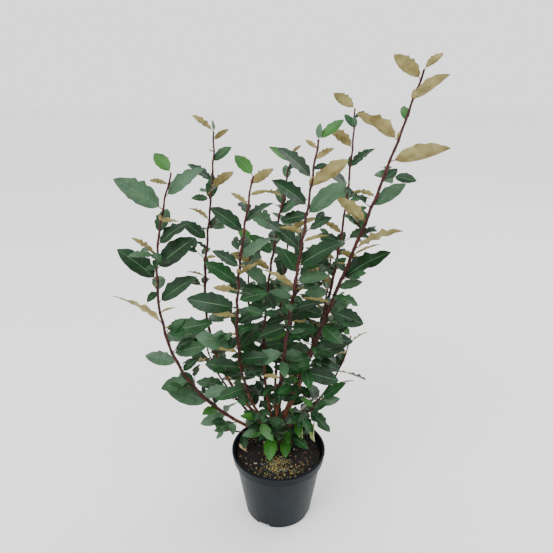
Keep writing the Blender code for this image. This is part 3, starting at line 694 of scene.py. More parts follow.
def even_shares(shoot, count):
    """Shares of the curve at evenly spaced nodes from the split to the tip."""
    start = shoot.split
    shares = [start + (1.0 - start) * i / NODE_STEPS for i in range(NODE_STEPS + 1)]
    lengths = [0.0]
    for low, high in zip(shares, shares[1:]):
        lengths.append(lengths[-1] + (along(shoot, high) - along(shoot, low)).length)
    last = count - 1 + FIRST_NODE
    wanted = [lengths[-1] * (index + FIRST_NODE) / last for index in range(count)]
    return [shares[min(bisect_left(lengths, length), NODE_STEPS)] for length in wanted]


def stem_points(shoot, plan):
    """Leaf nodes along the leafy part of a shoot, each set a little off to the side."""
    points = []
    for index, (entry, share) in enumerate(zip(plan, even_shares(shoot, len(plan)))):
        place = along(shoot, share)
        if entry is not None and index < len(plan) - 1:
            place -= heading(entry[0]) * ZIGZAG
        points.append((share, place))
    return points


def spur_bmesh(root, direction, length, radii=SPUR_RADII):
    """A plain three-sided taper."""
    bm = bmesh.new()
    bmesh.ops.create_cone(bm, cap_ends=True, segments=3, radius1=radii[0],
                          radius2=radii[1], depth=length)
    bm.transform(Matrix.Translation((0.0, 0.0, length / 2.0)))
    turn = Vector((0.0, 0.0, 1.0)).rotation_difference(direction).to_matrix().to_4x4()
    bm.transform(Matrix.Translation(root) @ turn)
    return bm


def grow_spur(owner, index, place, bearing, draw, small, bodies):
    """A short twig above a leaf, with its small leaves, or nothing where it has no room."""
    _, length, swing, rise = draw
    direction = heading(bearing + swing, rise)
    spur = ("spur", index)
    leaves = []
    for share, (size, spread, lift) in zip(SPUR_LEAF_PLACES, small):
        leaf = Leaf(place + direction * length * share, bearing + swing + spread, lift,
                    roll_for(bearing + spread, 1), size, False)
        placed = try_leaf(leaf, owner, spur, bodies)
        if placed is not None:
            leaves.append(placed)
    twig = spur_bmesh(place, direction, length)
    if not leaves or touches(body_of(owner, index, twig), bodies, False):
        return [], []
    bodies.append(body_of(owner, spur, twig))
    bodies += [body_of(owner, spur, leaf_bmesh(leaf)) for leaf in leaves]
    return [Twig(place, direction, length)], leaves


def grow(shoot, plan, nodes, rng, bodies):
    """Leaves and twigs of one mass."""
    leaves = []
    twigs = []
    for index, (entry, (_, place)) in enumerate(zip(plan, nodes)):
        turn, lift, twist, size = leaf_jitter(rng)
        draw, small = spur_draws(rng)
        if entry is None:
            continue
        bearing, length, rise, face, young = entry
        leaf = Leaf(place, bearing + turn, rise + lift, roll_for(bearing, face) + twist,
                    length * CM * size, young)
        placed = try_leaf(leaf, shoot.name, index, bodies)
        if placed is not None:
            bodies.append(body_of(shoot.name, index, leaf_bmesh(placed)))
            leaves.append(placed)
        if draw[0] > SPUR_CHANCE or index > len(plan) - SPUR_FREE_TIP:
            continue
        twig, small_leaves = grow_spur(shoot.name, index, place, bearing, draw, small, bodies)
        twigs += twig
        leaves += small_leaves
    return leaves, twigs


# %% [markdown]
# ## Growing every mass
# The pot, the soil, the stool and the boughs are there first, then every stem, and then the
# masses grow one after another in the order of the plan. A leaf of a later mass makes way for
# those before it.

# %% Growing every mass


def stem_solid(shoot, nodes):
    """The plain stem inside a mass, which other masses keep clear of."""
    points = [along(shoot, shoot.split)] + [place for _, place in nodes]
    radii = [stem_radius(shoot, share) for share in (shoot.split, *(share for share, _ in nodes))]
    bm = bmesh.new()
    for low, high, radius in zip(points, points[1:], radii):
        part = spur_bmesh(low, (high - low).normalized(), (high - low).length, (radius, radius))
        mesh = bpy.data.meshes.new("part")
        part.to_mesh(mesh)
        bm.from_mesh(mesh)
        bpy.data.meshes.remove(mesh)
    return bm


def grow_plant():
    bodies = []
    for name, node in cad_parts.items():
        if not name.startswith("foliage"):
            bm = bmesh.new()
            bm.from_mesh(node.data)
            bm.transform(node.matrix_world)
            bodies.append(body_of(name, None, bm))
    started = []
    for shoot in SHOOTS:
        rng = random.Random(shoot.name)
        plan = read_plan(shoot.leaves, rng)
        nodes = stem_points(shoot, plan)
        bodies.append(body_of(shoot.name, None, stem_solid(shoot, nodes)))
        started.append((shoot, plan, nodes, rng))
    return [Mass(shoot, plan, nodes, *grow(shoot, plan, nodes, rng, bodies))
            for shoot, plan, nodes, rng in started]


PLANT = grow_plant()
MASSES = ["foliage_" + shoot.name for shoot in SHOOTS]
print("leaves:", sum(len(mass.leaves) for mass in PLANT), "twigs:", sum(len(mass.twigs) for mass in PLANT))

# %% [markdown]
# ## Stems and bark
# The stool is grey-brown and rough. The boughs are smooth and brown, and the shoots above are
# red-brown, with burgundy tips under a bloom of tiny scales. A stem swells a little at each
# leaf, and its bark has fine wrinkles along it.
# A curve with a bevel would give plain tubes. A swept mesh is written here because each
# ring's radius can follow the swellings and the wrinkles.

# %% Swept stems
WRINKLE_ROUND = 2.1
WRINKLE_ALONG = 0.21
WRINKLE_PLACE = 40


def spline(points, per_span):
    """A smooth line through the points."""
    points = [points[0] * 2 - points[1]] + list(points) + [points[-1] * 2 - points[-2]]
    line = []
    for a, b, c, d in zip(points, points[1:], points[2:], points[3:]):
        for step in range(per_span):
            t = step / per_span
            line.append(0.5 * (2 * b + (c - a) * t + (2 * a - 5 * b + 4 * c - d) * t * t
                               + (3 * b - a - 3 * c + d) * t ** 3))
    return line + [points[-2]]


def swept(bm, line, radii, sides, relief):
    """Adds a closed tube along the line, with wrinkles that run along it."""
    ahead = (line[1] - line[0]).normalized()
    across = ahead.orthogonal().normalized()
    rings = []
    for index, (place, radius) in enumerate(zip(line, radii)):
        onward = (line[min(index + 1, len(line) - 1)] - line[max(index - 1, 0)]).normalized()
        across = (ahead.rotation_difference(onward) @ across).normalized()
        ahead = onward
        other = ahead.cross(across)
        ring = []
        for angle in ring_angles(sides):
            x, y = math.cos(angle), math.sin(angle)
            spot = Vector((x * WRINKLE_ROUND, y * WRINKLE_ROUND, index * WRINKLE_ALONG))
            wrinkle = 1.0 + relief * noise.noise(spot + place * WRINKLE_PLACE)
            ring.append(bm.verts.new(place + (across * x + other * y) * radius * wrinkle))
        rings.append(ring)
    for low, high in zip(rings, rings[1:]):
        for side in range(sides):
            near = (side + 1) % sides
            bm.faces.new((low[side], low[near], high[near], high[side]))
    bm.faces.new(reversed(rings[0]))
    bm.faces.new(rings[-1])


# %% [markdown]
# ## Boughs, stems and stool
# The sizes come from the plan, but the bark tapers less towards the tip than the solid does,
# because real shoots stay stout to the tip. The stool keeps its solid's shape, and noise puts
# ridges and pits on it.

# %% Boughs, stems and stool
TIP_GAIN = 0.35
BOUGH_RINGS = 36
BOUGH_SIDES = 12
BOUGH_LUMPS = (0.05, 60)
STEM_SPAN = 4
STEM_SIDES = 8
STEM_PULL = 0.4
NODE_SWELL = 0.16
NODE_REACH = 1.1
TIP_SHARE = 0.62
TIP_SIDES = 7
RELIEF = 0.10
TIP_RELIEF = 0.08
TWIG_SIDES = 6
TWIG_RELIEF = 0.05
SPUR_BARK = (1.0 * MM, 0.85 * MM, 0.7 * MM)
SPUR_SAG = Vector((0.0, 0.0, -0.4 * MM))
STOOL_WELD = 0.02 * MM
STOOL_CUTS = 3
STOOL_SMOOTH = 0.6
STOOL_PITS = 260.0
STOOL_NOISE = (1.0, 2.0, 4)
STOOL_RIDGE = 0.5 * MM


def bark_radius(shoot, share):
    return stem_radius(shoot, share) * (1.0 + TIP_GAIN * share)


def bough_mesh():
    bm = bmesh.new()
    for shoot in SHOOTS:
        if shoot.split == 0.0:
            continue
        shares = [shoot.split * i / BOUGH_RINGS for i in range(BOUGH_RINGS + 1)]
        height, pitch = BOUGH_LUMPS
        lumps = [noise.noise(Vector((t * pitch, shoot.foot_radius, 0))) for t in shares]
        radii = [bark_radius(shoot, t) * (1.0 + height * lump) for t, lump in zip(shares, lumps)]
        swept(bm, [along(shoot, t) for t in shares], radii, BOUGH_SIDES, RELIEF)
    return mesh_of(bm, "boughs")


def stem_meshes():
    """The leafy stems, as their brown lower parts and their burgundy tips."""
    low_bm, tip_bm = bmesh.new(), bmesh.new()
    for shoot, _, nodes, _, twigs in PLANT:
        points = [along(shoot, shoot.split)]
        points += [place.lerp(along(shoot, share), STEM_PULL) for share, place in nodes]
        radii = [bark_radius(shoot, share) for share in (shoot.split, *(share for share, _ in nodes))]
        line = spline(points, STEM_SPAN)
        fine = np.interp(np.linspace(0, len(radii) - 1, len(line)), range(len(radii)), radii)
        fine = [radius * (1.0 + NODE_SWELL * math.exp(-((index % STEM_SPAN) / NODE_REACH) ** 2))
                for index, radius in enumerate(fine)]
        change = round(len(nodes) * TIP_SHARE) * STEM_SPAN
        swept(low_bm, line[:change + 1], fine[:change + 1], STEM_SIDES, RELIEF)
        swept(tip_bm, line[change:], fine[change:], TIP_SIDES, TIP_RELIEF)
        for twig in twigs:
            end = twig.root + twig.direction * twig.length
            middle = twig.root.lerp(end, 0.5) + SPUR_SAG
            swept(tip_bm, [twig.root, middle, end], SPUR_BARK, TWIG_SIDES, TWIG_RELIEF)
    return mesh_of(low_bm, "stems"), mesh_of(tip_bm, "tips")


def trunk_mesh():
    """The stool: its solid, smoothed, with ridges and pits."""
    bm = bmesh.new()
    bm.from_mesh(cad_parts["trunk"].data)
    bmesh.ops.remove_doubles(bm, verts=bm.verts, dist=STOOL_WELD)
    bmesh.ops.subdivide_edges(bm, edges=bm.edges, cuts=STOOL_CUTS,
                              use_grid_fill=True, smooth=STOOL_SMOOTH)
    foot = min(v.co.z for v in bm.verts)
    bm.normal_update()
    for vert in bm.verts:
        if vert.co.z >= foot + GAP:
            vert.co += vert.normal * noise.fractal(vert.co * STOOL_PITS, *STOOL_NOISE) * STOOL_RIDGE
    return mesh_of(bm, "stool")


# %% [markdown]
# ## The bark's finish
# Bark is brown and wrinkled low down, red above and burgundy at the tips. Fine noise that is
# stretched upwards gives the grain, and broader noise the paler and darker parts.

# %% Bark: brown and wrinkled low down, red above, burgundy at the tips


def bark(name, dark, light, grain, depth, roughness):
    """Young bark: lengthwise grain with paler flecks, the breathing pores."""
    made, tree, place = new_material(name, roughness, Specular_IOR_Level=0.25)
    lines = speckle(tree, place, grain, 5.0, (1.0, 1.0, 0.18))
    mixed = reckon(tree, "ADD", lines, speckle(tree, place, 9 * MM, 3.0))
    half = reckon(tree, "MULTIPLY", mixed, 0.5)
    feed(tree, "Base Color", ramp(tree, half, 0.38, 0.64, dark, light))
    bump(tree, lines, depth, 0.8)
    return made


old_bark = bark("grey_brown_stool_bark", "#1f150e", "#523a2a", 1.6 * MM, 0.6 * MM, 0.85)
brown_bark = bark("brown_bough_bark", "#331b10", "#71462d", 1.2 * MM, 0.3 * MM, 0.7)
red_bark = bark("red_brown_shoot_bark", "#1b0806", "#461e14", 0.9 * MM, 0.2 * MM, 0.6)
tip_bark = bark("burgundy_tip_bark", "#220a0c", "#4a1a1a", 0.8 * MM, 0.15 * MM, 0.55)

lower_stems, tip_stems = stem_meshes()
bough_nodes = [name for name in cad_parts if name.startswith("bough_")]
finished("stool_bark", trunk_mesh(), ["trunk"], old_bark)
finished("bough_bark", bough_mesh(), bough_nodes, brown_bark)
finished("shoot_bark", lower_stems, finish=red_bark)
finished("tip_bark", tip_stems, finish=tip_bark)

# %% [markdown]
# ## Leaves
# A leaf is leathery and elliptic, mostly 3 to 8 cm long, on a short red stalk. It is folded
# along a pale midrib, its tip bends down, and its edge is crisped into waves. The upper side is
# satin green. The underside is silvery buff and dull, with minute brown scales.
# The plant has about eight hundred leaves. They could be copies of one object, but real leaves
# differ. Twelve leaf shapes are built from one function, each with its own waves and twist,
# and two of them chewed. Geometry Nodes puts one of them at every leaf's place.

# %% One leaf
ROWS = 12
UPPER_COLUMNS = (-1.0, -0.04, 0.04, 1.0)
UNDER_COLUMNS = (0.0,)
UPPER, UNDER, RIB, STALK = range(4)
STALK_SHARE = 0.10
BLADE_THICKNESS = 0.011
STALK_RADIUS = 0.016
STALK_PLACES = ((-0.01, 1.0), (STALK_SHARE * 0.6, 0.8), (STALK_SHARE + 0.05, 0.7))
# The outline's skew to the foot, its fullness, and how much and how late it comes to a point
OUTLINE_SKEW = 0.92
OUTLINE_FULLNESS = 0.62
OUTLINE_POINT = (0.25, 6)
LEAST_HALF = 0.010
BITE_DEPTH = 0.55
EDGE_WAVE = 0.06
CRISP_POWER = 1.5
CRISP_REACH = 1.1
RIB_EDGE = 0.1
Blade = namedtuple("Blade", "wide waves ruffle twist droop fold")


def blade_point(blade, phase, bites, u, v, drop):
    """A point of the blade at share u of its length and v of its half width."""
    x = STALK_SHARE + (1.0 - STALK_SHARE) * u
    share, power = OUTLINE_POINT
    half = 0.5 * blade.wide * math.sin(math.pi * u ** OUTLINE_SKEW) ** OUTLINE_FULLNESS
    half = max(half * (1.0 - share * u ** power), LEAST_HALF)
    edge = abs(v)
    left = 1 if v > 0 else 0
    wave = math.sin(2 * math.pi * blade.waves * u + phase[left])
    for where, reach, bitten in bites:
        if left == bitten:
            half *= 1.0 - BITE_DEPTH * edge * math.exp(-((u - where) / reach) ** 2)
    y = v * half * (1.0 + EDGE_WAVE * wave * edge)
    crisp = math.sin(math.pi * min(u * CRISP_REACH, 1.0))
    z = abs(y) * blade.fold + blade.ruffle * wave * edge ** CRISP_POWER * crisp
    z -= sag(x, blade.droop)
    turn = blade.twist * u
    y, z = y * math.cos(turn) - z * math.sin(turn), y * math.sin(turn) + z * math.cos(turn)
    return Vector((x, y, z - drop))


def leaf_shape(name, seed, blade, bites=()):
    """A closed thin blade one unit long, with its stalk at the origin."""
    rng = random.Random(seed)
    phase = (rng.uniform(0, 6.28), rng.uniform(0, 6.28))
    bm = bmesh.new()
    sides = bm.faces.layers.int.new("side")
    uv = bm.loops.layers.uv.new("UVMap")

    def points(columns, drop):
        return [[bm.verts.new(blade_point(blade, phase, bites, u, v, drop)) for v in columns] for u in rows]

    def face(corners, kind, places=((0.0, 0.0),) * 6):
        made = bm.faces.new(corners)
        made[sides] = kind
        for loop, (u, v) in zip(made.loops, places):
            loop[uv].uv = (u, 0.5 + 0.5 * v)

    rows = [i / ROWS for i in range(ROWS + 1)]
    top = points(UPPER_COLUMNS, 0.0)
    below = points(UNDER_COLUMNS, BLADE_THICKNESS)
    bottom = [[upper[0], *lower, upper[-1]] for upper, lower in zip(top, below)]
    under = (-1.0, *UNDER_COLUMNS, 1.0)
    for i, (u, w) in enumerate(zip(rows, rows[1:])):
        for j, (a, b) in enumerate(zip(UPPER_COLUMNS, UPPER_COLUMNS[1:])):
            kind = RIB if max(abs(a), abs(b)) < RIB_EDGE else UPPER
            face((top[i][j], top[i + 1][j], top[i + 1][j + 1], top[i][j + 1]), kind,
                 ((u, a), (w, a), (w, b), (u, b)))
        for j, (a, b) in enumerate(zip(under, under[1:])):
            face((bottom[i][j], bottom[i][j + 1], bottom[i + 1][j + 1], bottom[i + 1][j]), UNDER,
                 ((u, a), (u, b), (w, b), (w, a)))
    for row in (0, -1):
        face(top[row] + list(reversed(below[row])), UNDER)
    stalk = []
    for x, share in STALK_PLACES:
        radius = STALK_RADIUS * share
        z = -sag(x, blade.droop) - STALK_RADIUS * 0.5
        stalk.append([bm.verts.new((x, radius * math.cos(a), z + radius * math.sin(a)))
                      for a in ring_angles(4)])
    for near, far in zip(stalk, stalk[1:]):
        for k in range(4):
            n = (k + 1) % 4
            face((near[k], near[n], far[n], far[k]), STALK)
    face(list(reversed(stalk[0])), STALK)
    face(stalk[-1], STALK)
    mesh = mesh_of(bm, name)
    mesh.polygons.foreach_set("use_smooth", [True] * len(mesh.polygons))
    return bpy.data.objects.new(name, mesh)


# %% [markdown]
# ## The twelve shapes
# The first seven shapes are crisped, the next two are chewed as well, two are nearly smooth
# like young leaves, and the last is long, folded up and wilted. The ranges were set.

# %% The twelve shapes
CRISPED = 7
SMOOTH_SHAPES = (9, 10)
SMOOTH_SHARE = 0.2
WILTED_SHAPE = 11
# Width, number of waves, ruffle, twist, droop and fold, each from least to most
BLADE_RANGES = ((0.40, 0.48), (3.2, 5.0), (0.022, 0.042), (-0.4, 0.4), (0.10, 0.30), (0.10, 0.28))
WILTED_BLADE = Blade(0.19, 2.2, 0.012, 0.3, 0.2, 2.0)
# Bites of the chewed shapes: the share of the length, the reach and the side
BITES = {7: ((0.45, 0.08, 0), (0.7, 0.06, 1)), 8: ((0.3, 0.07, 1), (0.62, 0.09, 0))}


def leaf_shapes():
    group = bpy.data.collections.new("leaf_shapes")
    rng = random.Random(11)
    for index in range(WILTED_SHAPE):
        blade = Blade(*[rng.uniform(*limits) for limits in BLADE_RANGES])
        if index in SMOOTH_SHAPES:
            blade = blade._replace(ruffle=blade.ruffle * SMOOTH_SHARE)
        group.objects.link(leaf_shape(f"leaf_{index}", index, blade, BITES.get(index, ())))
    group.objects.link(leaf_shape("leaf_wilted", WILTED_SHAPE, WILTED_BLADE))
    return group


LEAF_SHAPES = leaf_shapes()

# %% [markdown]
# ## A shape at every point
# Geometry Nodes copies a shape to every point of a mesh, turned and sized by the point's
# attributes. The copies are made real, so that each face can take its own finish. The same
# tree serves the leaves, the buds and the litter on the soil.

# %% Geometry Nodes that put a shape at every point
FACE_KINDS = {"Upper side": UPPER, "Underside": UNDER, "Midrib": RIB, "Stalk": STALK}
POINT_VALUES = {"turn": "FLOAT_VECTOR", "size": "FLOAT", "shape": "INT", "side": "INT"}


def spray_tree():
    """A tree with the shapes, a size factor and four materials as its named inputs."""
    tree = bpy.data.node_groups.new("spray", "GeometryNodeTree")
    sockets = {"Geometry": "Geometry", "Shapes": "Collection", "Size factor": "Float",
               **dict.fromkeys(FACE_KINDS, "Material")}
    for name, kind in sockets.items():
        tree.interface.new_socket(name, in_out="INPUT", socket_type="NodeSocket" + kind)
    tree.interface.new_socket("Geometry", in_out="OUTPUT", socket_type="NodeSocketGeometry")
    given = add(tree, "NodeGroupInput").outputs
    turn, size, shape, side = [
        add(tree, "GeometryNodeInputNamedAttribute", {"Name": name}, data_type=kind)
        for name, kind in POINT_VALUES.items()]
    shapes = add(tree, "GeometryNodeCollectionInfo",
                 {"Collection": given["Shapes"], "Separate Children": True, "Reset Children": True})
    placed = add(tree, "GeometryNodeInstanceOnPoints", {
        "Points": given["Geometry"], "Instance": shapes, "Pick Instance": True, "Instance Index": shape,
        "Rotation": add(tree, "FunctionNodeEulerToRotation", {"Euler": turn}),
        "Scale": reckon(tree, "MULTIPLY", size, given["Size factor"])})
    flow = add(tree, "GeometryNodeRealizeInstances", {"Geometry": placed})
    for name, kind in FACE_KINDS.items():
        chosen = add(tree, "FunctionNodeCompare", {2: side, 3: kind}, data_type="INT", operation="EQUAL")
        inputs = {"Geometry": flow, "Selection": chosen, "Material": given[name]}
        flow = add(tree, "GeometryNodeSetMaterial", inputs)
    add(tree, "NodeGroupOutput", {"Geometry": flow})
    return tree


SPRAY = spray_tree()


def sprayed(name, points, shapes, finishes, factor=1.0):
    """The mesh of one spray; a point is its place, turn, size and shape."""
    mesh = bpy.data.meshes.new(name)
    places, turns, *plain = zip(*points)
    mesh.from_pydata(places, [], [])
    turn = mesh.attributes.new("turn", "FLOAT_VECTOR", "POINT")
    turn.data.foreach_set("vector", [angle for turned in turns for angle in turned])
    for key, values in zip(("size", "shape"), plain):
        mesh.attributes.new(key, POINT_VALUES[key], "POINT").data.foreach_set("value", values)
    obj = show(name, mesh)
    modifier = obj.modifiers.new("spray", "NODES")
    modifier.node_group = SPRAY
    inputs = {"Shapes": shapes, "Size factor": factor, **dict(zip(FACE_KINDS, finishes))}
    for item in SPRAY.interface.items_tree:
        if item.in_out == "INPUT" and item.name in inputs:
            modifier[item.identifier] = inputs[item.name]
    return baked(obj)


# %% [markdown]
# ## Leaf finishes
# The upper side has a thick clear cuticle, which makes it satin: grey highlights lie over deep
# green. Its side veins are faintly sunken. The underside is covered by overlapping scales,
# like felt, so it is rough and pale, and its veins stand out.
# The veins are worked out from the leaf's own UV map. A wave of the place along the leaf,
# pushed forward towards the edge, gives veins that slant to the tip as the real ones do.

# %% Leaf finishes
VEIN_PAIRS = 9
VEIN_SLANT = -0.32
VEIN_START = 0.72
LEAF_RELIEF = 0.2 * MM


def veins(tree):
    """Value that is 1 on a side vein; the pairs of veins slant forward."""
    uv = add(tree, "ShaderNodeUVMap", uv_map="UVMap")
    parts = add(tree, "ShaderNodeSeparateXYZ", {"Vector": uv}).outputs
    out = reckon(tree, "ABSOLUTE", reckon(tree, "SUBTRACT", parts["Y"], 0.5))
    back = reckon(tree, "MULTIPLY_ADD", out, VEIN_SLANT, parts["X"])
    wave = reckon(tree, "SINE", reckon(tree, "MULTIPLY", back, 2 * math.pi * VEIN_PAIRS))
    return mapped(tree, wave, VEIN_START, 1.0)


def leaf_face(name, dark, light, vein, vein_share, roughness, sheen):
    """Green cuticle with veins in a tint of their own."""
    made, tree, place = new_material(name, roughness, Specular_IOR_Level=sheen)
    base = ramp(tree, speckle(tree, place, 11 * MM, 4.0), 0.34, 0.68, dark, light)
    line = veins(tree)
    feed(tree, "Base Color", blend(tree, reckon(tree, "MULTIPLY", line, vein_share), base, vein))
    fine = speckle(tree, place, 0.9 * MM, 3.0)
    bump(tree, reckon(tree, "MULTIPLY_ADD", line, -1.0, fine), LEAF_RELIEF, 0.5)
    return made


def felt_face(name):
    """Underside: pale felt of scales with minute brown dots and raised veins."""
    made, tree, place = new_material(name, 0.78, Specular_IOR_Level=0.25)
    base = ramp(tree, speckle(tree, place, 9 * MM, 4.0), 0.34, 0.68, "#6e6337", "#9b9160")
    dots = ramp(tree, speckle(tree, place, 0.6 * MM, 2.0), 0.62, 0.70)
    feed(tree, "Base Color", blend(tree, reckon(tree, "MULTIPLY", dots, 0.45), base, "#7a5636"))
    bump(tree, veins(tree), 0.3 * MM, 0.6)
    return made


def mottled(name, dark, light, blot, roughness, depth):
    """A plain mottled finish with fine bumps."""
    made, tree, place = new_material(name, roughness)
    value = speckle(tree, place, blot, 4.0)
    feed(tree, "Base Color", ramp(tree, value, 0.36, 0.66, dark, light))
    bump(tree, value, depth, 0.7)
    return made


# Each green: dark, light and vein colour, the vein's share, the roughness and the sheen
GREENS = {
    "deep": ("deep_green_leaf_cuticle", "#06200c", "#0f3618", "#1e4a28", 0.25, 0.42, 0.28),
    "mid": ("fresh_green_leaf_cuticle", "#103417", "#1d4a22", "#2f5f32", 0.25, 0.44, 0.28),
    "greyed": ("scaly_grey_green_leaf_cuticle", "#24442b", "#3d6042", "#4c6b48", 0.30, 0.5, 0.4),
    "young": ("young_bright_leaf_cuticle", "#174a0a", "#2a6414", "#437d2c", 0.30, 0.42, 0.35),
}
UPPER_SIDES = {key: leaf_face(*look) for key, look in GREENS.items()}
felt = felt_face("felted_scaly_leaf_underside")
midrib = mottled("pale_leaf_midrib", "#2f5534", "#466b45", 3 * MM, 0.5, 0.1 * MM)
red_stalk = mottled("red_brown_leaf_stalk", "#4a2720", "#70452f", 2 * MM, 0.6, 0.1 * MM)
wilted_green = mottled("wilted_pale_green_leaf", "#7d8f4c", "#aebb7c", 4 * MM, 0.6, 0.2 * MM)
bud_scales = mottled("orange_brown_bud_scales", "#5f371b", "#94602f", 0.8 * MM, 0.7, 0.2 * MM)

# %% [markdown]
# ## The soil's finishes
# Everything on the soil is mottled, so one function makes all these finishes. They differ in
# their colours and in the size of their blots. Each colour of feed grain has its own share.

# %% Soil finishes
peat = mottled("dark_peat", "#050403", "#120d09", 2.2 * MM, 0.95, 1.2 * MM)
crumb = mottled("peat_crumb", "#090705", "#21180f", 1.5 * MM, 0.95, 0.5 * MM)
bark_chip = mottled("composted_bark_chip", "#2e2015", "#7a5f42", 1.5 * MM, 0.9, 0.4 * MM)
pale_stone = mottled("pale_grit", "#8f8175", "#bfb1a4", 1.5 * MM, 0.8, 0.2 * MM)
dead_leaf = mottled("dead_beige_leaf", "#9a8462", "#c9b48e", 3.0 * MM, 0.85, 0.2 * MM)
GRAIN_COLOURS = {
    "yellow": (0.42, "#786a32", "#a39352"),
    "olive": (0.30, "#494720", "#656134"),
    "teal": (0.22, "#354845", "#54655f"),
    "orange": (0.06, "#7a4218", "#a5632a"),
}
GRAINS = {
    hue + "_grains": (share, mottled(hue + "_feed_grain", dark, light, 2 * MM, 0.55, 0.1 * MM))
    for hue, (share, dark, light) in GRAIN_COLOURS.items()}

# %% [markdown]
# ## Finer twigs
# Between the lower leaves stand short side twigs with a few small leaves each. They are too
# fine for the solids, so they are grown here: from the nodes of the lower seven tenths of
# every mass and from the upper half of every bough. A twig that would leave the box of the
# solids is not grown.

# %% Side twigs
TWIG_CHANCE = 0.46
TWIG_LENGTH = (1.6 * CM, 4.2 * CM)
TWIG_LEAF = (1.9 * CM, 4.0 * CM)
TWIG_PITCH = 0.9 * CM
LEAFY_SHARE = 0.7
BOUGH_TWIGS = 2
BOUGH_PART = (0.45, 1.0)
TWIG_THINNING = 0.5
TWIG_RISE = (8, 48)
TWIG_CURVE = 0.18
TWIG_STEPS = (0.0, 0.35, 0.7, 1.0)
TWIG_TAPER = (1.0, 0.85, 0.7, 0.5)
TWIG_RADIUS = 0.9 * MM
BOUGH_TWIG_RADIUS = 1.0 * MM
SIDE_RELIEF = 0.06
FIRST_LEAF = 0.3
# A twig's leaves: the turn to each side, the rise and the roll, in degrees
LEAF_TURNS = ((-75, -25), (25, 75))
LEAF_RISE = (-12, 38)
LEAF_ROLL = (-15, 15)
# Towards its tip a twig's leaves turn less far out and are smaller
TURN_NARROWING = 1.3
SIZE_FALL = (1.15, 0.3)


def inside(place):
    return all(CAD_BOX[0][i] < place[i] < CAD_BOX[1][i] for i in range(3)) and place.z > POT_HEIGHT


def side_twig(rng, root, bearing, radius):
    """One side twig as its line, radii and leaves, or nothing where it has no room."""
    direction = heading(bearing, rng.uniform(*TWIG_RISE))
    length = rng.uniform(*TWIG_LENGTH)

    def place_at(t):
        return root + direction * length * t + Vector((0, 0, TWIG_CURVE * length * t * t))

    leaves = []
    count = max(2, round(length / TWIG_PITCH))
    for index in range(count):
        share = FIRST_LEAF + (1.0 - FIRST_LEAF) * index / (count - 1)
        turn = bearing + rng.uniform(*LEAF_TURNS[index % 2]) * (TURN_NARROWING - share)
        rise = rng.uniform(*LEAF_RISE)
        roll = roll_for(turn, 1) + rng.uniform(*LEAF_ROLL)
        size = rng.uniform(*TWIG_LEAF) * (SIZE_FALL[0] - SIZE_FALL[1] * share)
        leaves.append(Leaf(place_at(share), turn, rise, roll, size, False))
    line = [place_at(t) for t in TWIG_STEPS]
    reach = [leaf.root + leaf_matrix(leaf).to_3x3() @ Vector((leaf.length, 0.0, 0.0)) for leaf in leaves]
    if not all(inside(place) for place in reach + line):
        return None
    return line, [radius * share for share in TWIG_TAPER], leaves


def side_twigs():
    rng = random.Random(41)
    grown = []
    for mass in PLANT:
        count = len(mass.nodes)
        for index, (_, place) in enumerate(mass.nodes[:round(count * LEAFY_SHARE)]):
            bearing = rng.uniform(0.0, 360.0)
            if rng.random() < TWIG_CHANCE * (1.0 - TWIG_THINNING * index / count):
                grown.append(side_twig(rng, place, bearing, TWIG_RADIUS))
        for _ in range(BOUGH_TWIGS if mass.shoot.split else 0):
            share = mass.shoot.split * rng.uniform(*BOUGH_PART)
            grown.append(side_twig(rng, along(mass.shoot, share), rng.uniform(0.0, 360.0), BOUGH_TWIG_RADIUS))
    return [twig for twig in grown if twig]


SIDE_TWIGS = side_twigs()
twig_bm = bmesh.new()
for line, radii, _ in SIDE_TWIGS:
    swept(twig_bm, line, radii, TWIG_SIDES, SIDE_RELIEF)
finished("side_twigs", mesh_of(twig_bm, "twigs"), finish=red_bark)
print("side twigs:", len(SIDE_TWIGS))

# %% [markdown]
# ## Dealing out the leaves
# The colour of a leaf depends on its age, its light and its coat of scales. A colour that has
# no place on the plant's surface is dealt out leaf by leaf: two in five leaves are deep green,
# a third are fresher, and a fifth still wear grey scales. Marked young leaves are bright.
# A small leaf sits in three axils out of ten.

# %% Sprays of leaves
AXIL_CHANCE = 0.3
AXIL_SIZE = (0.9 * CM, 2.1 * CM)
AXIL_TURN = (35, 80)
AXIL_RISE = (15, 45)
SIZE_FACTOR = 1.03
LEAF_CREASE = math.radians(60)
HUES = ("deep", "mid", "greyed")
STEM_ODDS = (50, 33, 17)
TWIG_ODDS = (50, 38, 12)
SHAPE_ODDS = (5, 5, 5, 5, 5, 5, 5, 2, 2, 3, 3, 0)


def leaf_point(leaf, shape):
    return (leaf.root, tuple(leaf_matrix(leaf).to_euler()), leaf.length, shape)


def any_shape(rng):
    return rng.choices(range(len(SHAPE_ODDS)), SHAPE_ODDS)[0]


def deal_leaves():
    """Points of every spray, by colour."""
    rng = random.Random(23)
    sprays = {key: [] for key in UPPER_SIDES}
    for leaf in [leaf for mass in PLANT for leaf in mass.leaves]:
        key = "young" if leaf.young else rng.choices(HUES, STEM_ODDS)[0]
        shape = rng.choice(SMOOTH_SHAPES) if leaf.young else any_shape(rng)
        sprays[key].append(leaf_point(leaf, shape))
        if rng.random() < AXIL_CHANCE:
            small = leaf._replace(bearing=leaf.bearing + rng.choice((-1, 1)) * rng.uniform(*AXIL_TURN),
                                  rise=leaf.rise + rng.uniform(*AXIL_RISE), length=rng.uniform(*AXIL_SIZE))
            sprays[rng.choice(HUES[1:])].append(leaf_point(small, rng.randrange(CRISPED)))
    for leaf in [leaf for _, _, leaves in SIDE_TWIGS for leaf in leaves]:
        key = rng.choices(HUES, TWIG_ODDS)[0]
        sprays[key].append(leaf_point(leaf, any_shape(rng)))
    return sprays


